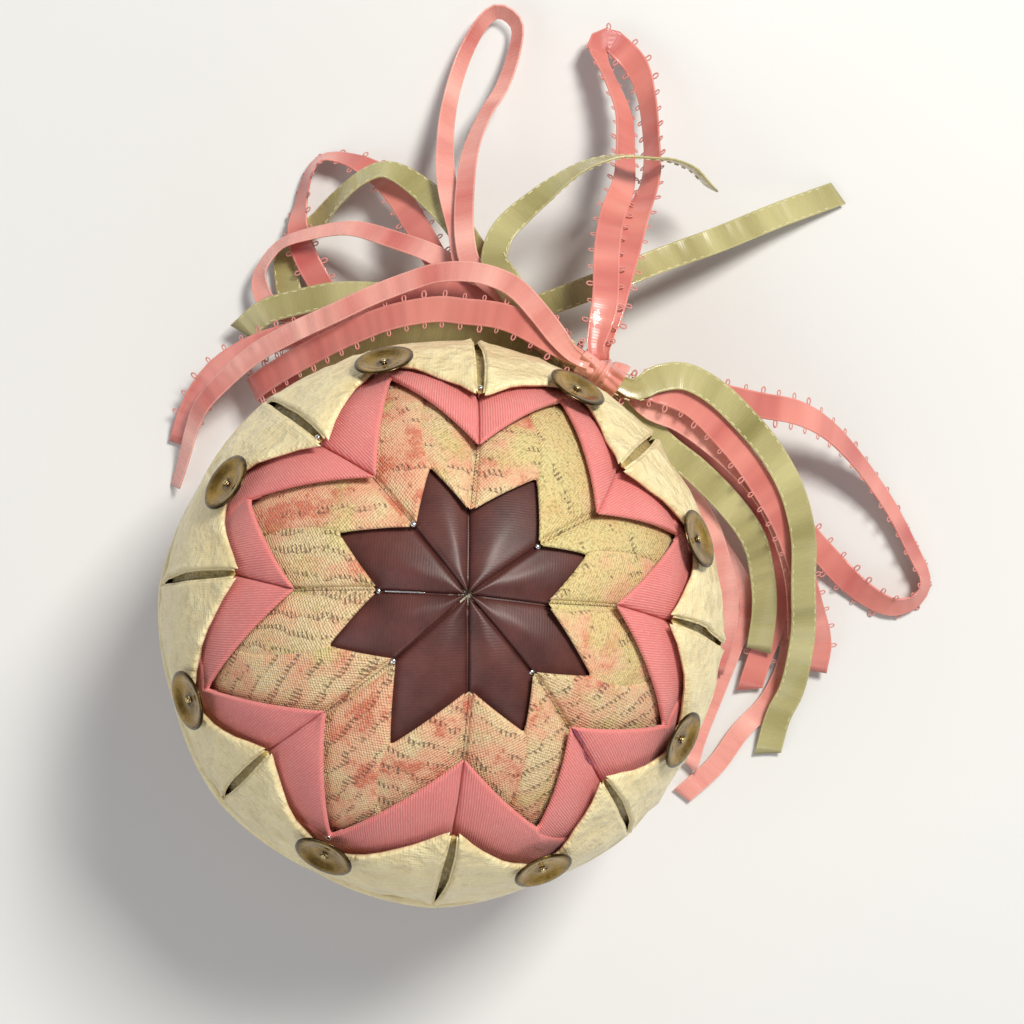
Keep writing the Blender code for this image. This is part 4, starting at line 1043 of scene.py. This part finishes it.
# what is set along both edges, picots or stitches: how far apart, and how far in from the edge
edgeSet = {"picot": {"pitch": 3.2, "inset": 0.06}, "green": {"pitch": 1.55, "inset": 0.32}}
ribbonRoutes = (
    ("hanging_loop", "pink", 11, 12, (8, 12),
     ((19, 39.2), (11.5, 48), (7, 51), (3, 53.5), (1.7, 60, -0.8), (0, 67, -2.8, 25),
      (-0.5, 73.5, -5, 45), (0, 81, -7.5, 50), (2, 89, -9, 50), (5, 95, -9.5, 58),
      (8, 97.3, -9.5, 62), (11, 95, -9.5, 58), (10.5, 90, -9, 48), (8.5, 84, -8, 40),
      (6, 79.5, -6.5, 35), (3.7, 73, -4.3, 20), (2.8, 64.5, -1.8), (3, 57.5), (4.5, 53),
      (10, 48), (19, 39.2))),
    ("left_tail", "pink", 17, None, None,
     ((19, 39.2), (14.5, 45), (11, 49), (7.5, 51), (3.5, 52), (-1, 52), (-5, 51), (-11, 49),
      (-17, 46.5), (-23.5, 44, -2), (-30, 41, -5), (-35.5, 37, -8, 10), (-39.5, 33, -10.7, 25),
      (-41.5, 29, -13, 40), (-43, 24.5, -15, 50), (-44.7, 20, -17, 55))),
    ("left_picot_tail", "picot", 10, None, None,
     ((19, 39.2), (13, 45.5), (8.5, 49), (2, 50.5), (-5, 50), (-11, 48), (-17.5, 45.5),
      (-24, 44), (-30, 42.5, -1.5), (-36, 39.5, -4), (-40, 35.5, -6.5), (-42.5, 31, -8.5),
      (-44, 27, -10.3))),
    ("rim_picot_loop", "picot", 16, 3, (8, 10),
     ((19, 39.2), (14.5, 42.3), (9, 45), (3, 46), (-1.5, 46.5), (-8.5, 45.5), (-16, 43, -1.5),
      (-23, 40, -4.5), (-29, 37, -8), (-31.5, 35.5, -4), (-29, 36.7), (-23, 39.5), (-16, 42),
      (-8, 43.2), (0, 43.5), (7, 42.8), (13, 41.2), (19, 38.8))),
    ("left_green_tail", "green", 6, None, None,
     ((19, 39.2), (11.5, 45.5), (5, 48), (-1, 49.5), (-9, 50), (-17.5, 50.5), (-24, 49.5),
      (-29.5, 48, -0.5), (-33.5, 45, -2.5))),
    ("rim_green_tail", "green", 5, None, None,
     ((19, 39.2), (11.5, 42), (3.5, 43.5), (-4.5, 43.8), (-12.5, 43), (-19, 41), (-24, 37.5))),
    ("high_picot_loop", "picot", 7, 2, (9, 13),
     ((19, 39.2), (10, 46), (4.5, 49), (-1, 54.5), (-4.5, 60.5, -1), (-8, 66.5, -3.1),
      (-11.5, 70.5, -4.6, 15), (-16, 73, -5.2, 45), (-20.5, 73.5, -5.1, 62), (-22.7, 71, -4.8, 60),
      (-24, 66, -3.8, 48), (-24.5, 62, -1.5, 20), (-23.5, 58), (-21.5, 54), (-19, 50.5),
      (-12.5, 47), (-3, 45), (8.5, 43), (19, 39))),
    ("left_loop", "pink", 8, 4, (6, 9),
     ((19, 39.2), (11.5, 45.5), (5, 50), (-1, 55.5), (-9, 59, -0.5, 15),
      (-15.5, 61, -1.2, 30), (-22, 60.5, -2, 38), (-27, 59, -1.5, 52), (-30, 55.5, -1, 50),
      (-30.5, 52.5, 0, 20), (-28.5, 49),
      (-21, 46.5), (-11, 45), (-1, 44.5), (10, 42.5), (19, 39))),
    ("high_green_loop", "green", 9, 1, (7, 10),
     ((19, 39.2), (11, 46.5), (8.5, 50), (6, 53.5), (1, 61.5, -1), (-4.5, 67.5, -3, 20),
      (-9.5, 70.5, -2.6, 35), (-13.5, 69.5, -2.6, 38), (-18, 66.5, -3.1, 35), (-21.5, 63, -2.8, 25),
      (-24.5, 60.5, -0.9), (-26.5, 57.5), (-26.5, 54.5), (-25.5, 50.5), (-21, 44), (-12.5, 39.5),
      (-3, 39.5), (8.5, 39.5), (19, 38.5))),
    ("green_curl", "green", 13, None, None,
     ((19, 39.2), (12, 47), (9, 51.5), (7.5, 54), (8.5, 58), (11, 61), (15, 64.5, 0, -15),
      (17.5, 66.5, 0.5, -30), (21.5, 69, 1, -42), (26.5, 70.5, 1, -50), (31, 70.5, 0, -52),
      (35, 70.5, -2, -55), (38.5, 69.5, -4.5, -58), (41.5, 67, -7.5, -60))),
    ("green_straight", "green", 0, None, None,
     ((18.8, 38.5), (13, 39.5), (8.5, 42), (6, 44.5), (8.5, 46.5), (11.5, 47), (14.5, 48),
      (24, 51.5), (33.5, 55.5), (43.5, 59.5), (53.5, 64), (63.5, 68, -0.8))),
    ("top_picot_loop", "picot", 15, 14, (8, 12),
     ((22.6, 40.6), (24, 47), (24.5, 55, -2), (25.5, 61, -4.5, 10), (27.5, 67, -7.5, 25),
      (28, 72.5, -9.5, 38), (28, 79.5, -11, 42), (26, 85.5, -12, 52), (24.5, 89, -12.5, 48),
      (24, 91.5, -12.7, 20), (26, 92.5, -12.7, 0), (28, 91, -12.6, 0), (30.5, 88, -12.2, 30),
      (32, 83, -11.6, 55), (32.5, 75, -10, 62), (32, 68, -7.7, 52), (29.5, 61.5, -5, 22),
      (27.5, 55, -2.2), (25.5, 48), (23.6, 40.9))),
    ("right_green_tail", "green", 9, None, None,
     ((29, 34.4), (32, 36), (36.5, 36.5), (41.5, 34), (46.5, 29.5), (50.5, 25), (54, 19),
      (56, 12), (56.5, 4.5, -1.5), (57, -2.5, -3.5), (56.5, -8, -5), (55.5, -13, -6.5),
      (53.5, -17.5, -8), (52, -23.5, -9.3))),
    ("right_picot_tail", "picot", 8, None, None,
     ((28.6, 34.6), (32, 34.5), (37.5, 32.5), (42.5, 28), (47, 23), (52.5, 15, -0.3), (56, 7.5, -2),
      (58, 1.5, -3.1), (60, -5, -5.5), (59.5, -10, -7))),
    ("right_tail", "pink", 6, None, None,
     ((27.8, 34.3), (31.5, 31.5), (36.5, 29.5), (43.5, 24.5), (49, 19), (52.5, 13),
      (55, 6.5, -1.2), (56, 1, -2.6), (56.5, -5, -4.6))),
    ("inner_picot_tail", "picot", 4, None, None,
     ((27.8, 34.3), (32.5, 28.5), (40, 24), (46, 18), (50.5, 11.5), (53, 4, -2.6),
      (52.5, -2.5, -3), (50.5, -8, -3.6), (49, -13, -3.9))),
    ("inner_green_tail", "green", 5, None, None,
     ((27.8, 34.3), (32.8, 27), (38.8, 22.3), (44.6, 16.8), (48.5, 11.5), (50.3, 5.5, -1.8),
      (50.8, 0, -2.3), (50.2, -6.5, -3.3))),
    ("inner_tail", "pink", 3, None, None,
     ((27.8, 34.3), (31.5, 27.5), (36.5, 21), (41, 14.5), (43.5, 8), (45, 1.5, -0.5),
      (44.5, -5, -1), (43, -10, -1.4))),
    ("right_picot_loop", "picot", 7, 0, (8, 13),
     ((28.6, 34.6), (33, 35), (40.5, 34), (48.5, 32.5), (55, 31.5, -1, -10), (60.5, 29, -3, -25),
      (66, 24, -5, -35), (71.5, 17, -6.5, -42), (75.5, 9.5, -6.3, -52), (77.5, 5, -4.6, -60),
      (76.5, 2, -2.9, -60), (73.5, 0.5, -1.2, -48), (70.5, 1, 0, -38), (66, 4, 0.6, -25), (61, 9),
      (56, 14), (50, 18.5), (43, 24),
      (36.5, 28.5), (30.5, 31.5), (27.8, 33.8))),
    ("rim_tail", "pink", 2, None, None,
     ((27.8, 34.3), (32.5, 24.5), (40, 14.5), (46, 6.5, -0.6), (48.5, 1, -1.5),
      (46.5, -5, -1.7), (43.5, -13, -1.6), (40.5, -20.5, -1.2), (39, -25.5, -1.1))),
    ("low_tail", "pink", 1, None, None,
     ((27.8, 34.3), (33.5, 27), (43, 19.5), (51, 10), (55.5, 1, -0.9), (55.5, -7, -1),
      (52.5, -14.5, -1), (47.5, -20, -1), (43.5, -25.5, -1), (38, -30.5, -1))),
)


def layerHeight(layer, x, y):
    distance = math.hypot(x - knotSet["place"][0], y - knotSet["place"][1])
    held = 0.5 * (1 + math.cos(math.pi * min(1.0, distance / ribbonSet["sink"])))
    lowest = ribbonSet["lowest"]
    return lowest + (ribbonSet["knotLowest"] - lowest) * held + ribbonSet["pitch"] * layer


def layerNormal(x, y):
    here = layerHeight(0, x, y)
    return Vector((here - layerHeight(0, x + 1, y), here - layerHeight(0, x, y + 1), 1.0))


def smoothRoute(out, back, turn, plan):
    route = []
    for index, row in enumerate(plan):
        x, y, raised, lean = (*row, 0, 0)[:4]
        layer = out
        if back is not None:
            layer = out + (back - out) * min(1.0, max(0.0, (index - turn[0]) / (turn[1] - turn[0])))
        route.append((Vector((x, y, layerHeight(layer, x, y) + raised)), math.radians(lean)))
    # the ends that start at the knot go on into it
    for end in (0, -1) if back is not None else (0,):
        spot = route[end][0]
        inside = spot.lerp(Vector((*knotSet["place"][:2], spot.z)), ribbonSet["tuckIn"])
        route.insert(0 if end == 0 else len(route), (inside, route[end][1]))
    points = [point for point, _ in route]
    leans = [lean for _, lean in route]
    line = [points[0] * 2 - points[1], *points, points[-1] * 2 - points[-2]]
    fine = []
    for i in range(1, len(line) - 2):
        p0, p1, p2, p3 = line[i - 1:i + 3]
        parts = max(4, round((p2 - p1).length * 2))
        for part in range(parts):
            t = part / parts
            spot = 0.5 * (2 * p1 + (p2 - p0) * t + (2 * p0 - 5 * p1 + 4 * p2 - p3) * t * t
                          + (3 * p1 - p0 - 3 * p2 + p3) * t ** 3)
            fine.append((spot, leans[i - 1] + (leans[min(i, len(leans) - 1)] - leans[i - 1]) * t))
    fine.append((points[-1], leans[-1]))
    lengths = [0.0]
    for (a, _), (b, _) in zip(fine, fine[1:]):
        lengths.append(lengths[-1] + (b - a).length)
    count = round(lengths[-1] / ribbonSet["step"])
    picked = []
    at = 0
    for i in range(count + 1):
        target = lengths[-1] * i / count
        while at < len(fine) - 2 and lengths[at + 1] < target:
            at += 1
        share = (target - lengths[at]) / (lengths[at + 1] - lengths[at])
        spot = fine[at][0].lerp(fine[at + 1][0], share)
        picked.append((spot, fine[at][1] + (fine[at + 1][1] - fine[at][1]) * share))
    return picked, lengths[-1]


def ribbonFrames(number, path):
    # each step's place and its directions along, across and up
    frames = []
    side = None
    for i, (spot, lean) in enumerate(path):
        ahead = (path[min(i + 1, len(path) - 1)][0] - path[max(i - 1, 0)][0]).normalized()
        level = layerNormal(spot.x, spot.y).cross(ahead)
        if side is None or level.length > 0.3:
            if side is not None and level.dot(side) < 0:
                level = -level
            side = level.normalized()
        waver = math.radians(ribbonSet["waver"]) * noise.noise(Vector((i * 0.11, number * 4.3, 0.5)))
        across = Quaternion(ahead, lean + waver) @ side
        frames.append((spot, ahead, across, ahead.cross(across).normalized()))
    return frames


def edgeRows(cloth, width, length, frames):
    # where the picots or stitches sit: picots on the edge itself, stitches on both faces beside it
    rows = []
    pitch, inset = edgeSet[cloth]["pitch"], edgeSet[cloth]["inset"]
    step = length / (len(frames) - 1)
    for edge in (-1, 1):
        for k in range(int(length / pitch) - 1):
            where = (k + 0.8) * pitch / step
            i = min(len(frames) - 2, int(where))
            _, ahead, across, up = frames[i]
            spot = frames[i][0].lerp(frames[i + 1][0], where - i) + across * edge * (width / 2 - inset)
            if cloth == "picot":
                rows.append((spot + up * ribbonSet["curl"], ahead * edge, up))
            else:
                rows.append((spot + up * ribbonSet["thick"] * 0.5, ahead, up))
                rows.append((spot - up * ribbonSet["thick"] * 0.5, ahead, up))
    return rows


def makeRibbon(number, name, cloth, out, back, turn, plan):
    path, length = smoothRoute(out, back, turn, plan)
    width = widths[cloth]
    frames = ribbonFrames(number, path)
    last = len(frames) - 1
    shares = (-1, -0.96, -0.8, -0.4, 0, 0.4, 0.8, 0.96, 1)
    section = [(share, 1) for share in shares] + [(share, -1) for share in shares[::-1]]
    rings = []
    for i, (spot, ahead, across, up) in enumerate(frames):
        ring = []
        cut = ribbonSet["cut"] * math.cos(number * 2.3) if back is None and i == last else 0.0
        curl = ribbonSet["curl"] * (1 + 1.8 * noise.noise(Vector((i * 0.09, number * 2.1, 7.5))))
        fromKnot = min(i, last - i if back is not None else i) * ribbonSet["step"]
        gather = ribbonSet["gather"] * (1 - ease(fromKnot / ribbonSet["gathered"]))
        for share, face in section:
            thin = ribbonSet["edgeThin"] if abs(share) == 1 else 1.0
            lift = curl * share * share + face * thin * ribbonSet["thick"] / 2
            lift += gather * (0.5 * math.cos(share * 7.0 + number) + 0.6 * share * share)
            place = spot + across * (share * width / 2 * (1 - gather)) + up * lift + ahead * cut * share
            ring.append(place * mm)
        rings.append(ring)
    bm = bmesh.new()
    step = length / last
    loops = loftRings(bm, rings, False,
                      lambda i, k: (i * step + number * 41.0, section[k % len(section)][0] * width / 2))
    bm.faces.new(loops[0][::-1])
    bm.faces.new(loops[-1])
    turnOutwards(bm)
    made = newObject("satin_" + name, bm, cloth)
    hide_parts("ribbon_" + name)
    if cloth == "picot":
        rows = edgeRows(cloth, width, length, frames)
        repeatOn("picots_" + name, "picotRow", rows, "picotThread", cloth)
    elif cloth == "green":
        rows = edgeRows(cloth, width, length, frames)
        repeatOn("stitches_" + name, "stitchRow", rows, "edgeThread", cloth)
    path[0][0] * mm
    length * mm
    [spot * mm for spot, _ in path]
    print(f"ribbon {name}: {length:.0f} mm")


for number, row in enumerate(ribbonRoutes):
    makeRibbon(number, *row)

# Pale floor and soft studio light
studioSet = {"floorHalf": 2, "floorColour": (0.72, 0.72, 0.71), "lightAim": (0.01, 0.02, 0.03),
             "air": (0.9, 0.92, 0.95, 1), "airPower": 0.27, "lights": (
                 ("keyLight", (0.26, 0.30, 0.60), 0.17, 4.9, (1.0, 0.97, 0.91)),
                 ("fillLight", (-0.55, -0.30, 0.60), 0.55, 1.7, (0.95, 0.97, 1.0)),
                 ("lowLight", (0.20, -0.65, 0.45), 0.45, 1.1, (1.0, 0.98, 0.95)))}
floorMesh = bpy.data.meshes.new("floor")
corners = [(x * studioSet["floorHalf"], y * studioSet["floorHalf"], 0)
           for x, y in ((-1, -1), (1, -1), (1, 1), (-1, 1))]
floorMesh.from_pydata(corners, [], [(0, 1, 2, 3)])
floor = bpy.data.objects.new("floor", floorMesh)
bpy.context.collection.objects.link(floor)
floorMesh.materials.append(Graph("paleFloor").finish(Base_Color=studioSet["floorColour"], Roughness=0.9))

for name, place, size, power, colour in studioSet["lights"]:
    data = bpy.data.lights.new(name, "AREA")
    data.size = size
    data.energy = power
    data.color = colour
    lamp = bpy.data.objects.new(name, data)
    bpy.context.collection.objects.link(lamp)
    lamp.location = place
    aim = Vector(studioSet["lightAim"]) - Vector(place)
    lamp.rotation_euler = aim.to_track_quat("-Z", "Y").to_euler()
world = bpy.data.worlds.new("studio")
bpy.context.scene.world = world
world.use_nodes = True
world.node_tree.nodes["Background"].inputs[0].default_value = studioSet["air"]
world.node_tree.nodes["Background"].inputs[1].default_value = studioSet["airPower"]
bpy.context.scene.view_settings.view_transform = "Standard"
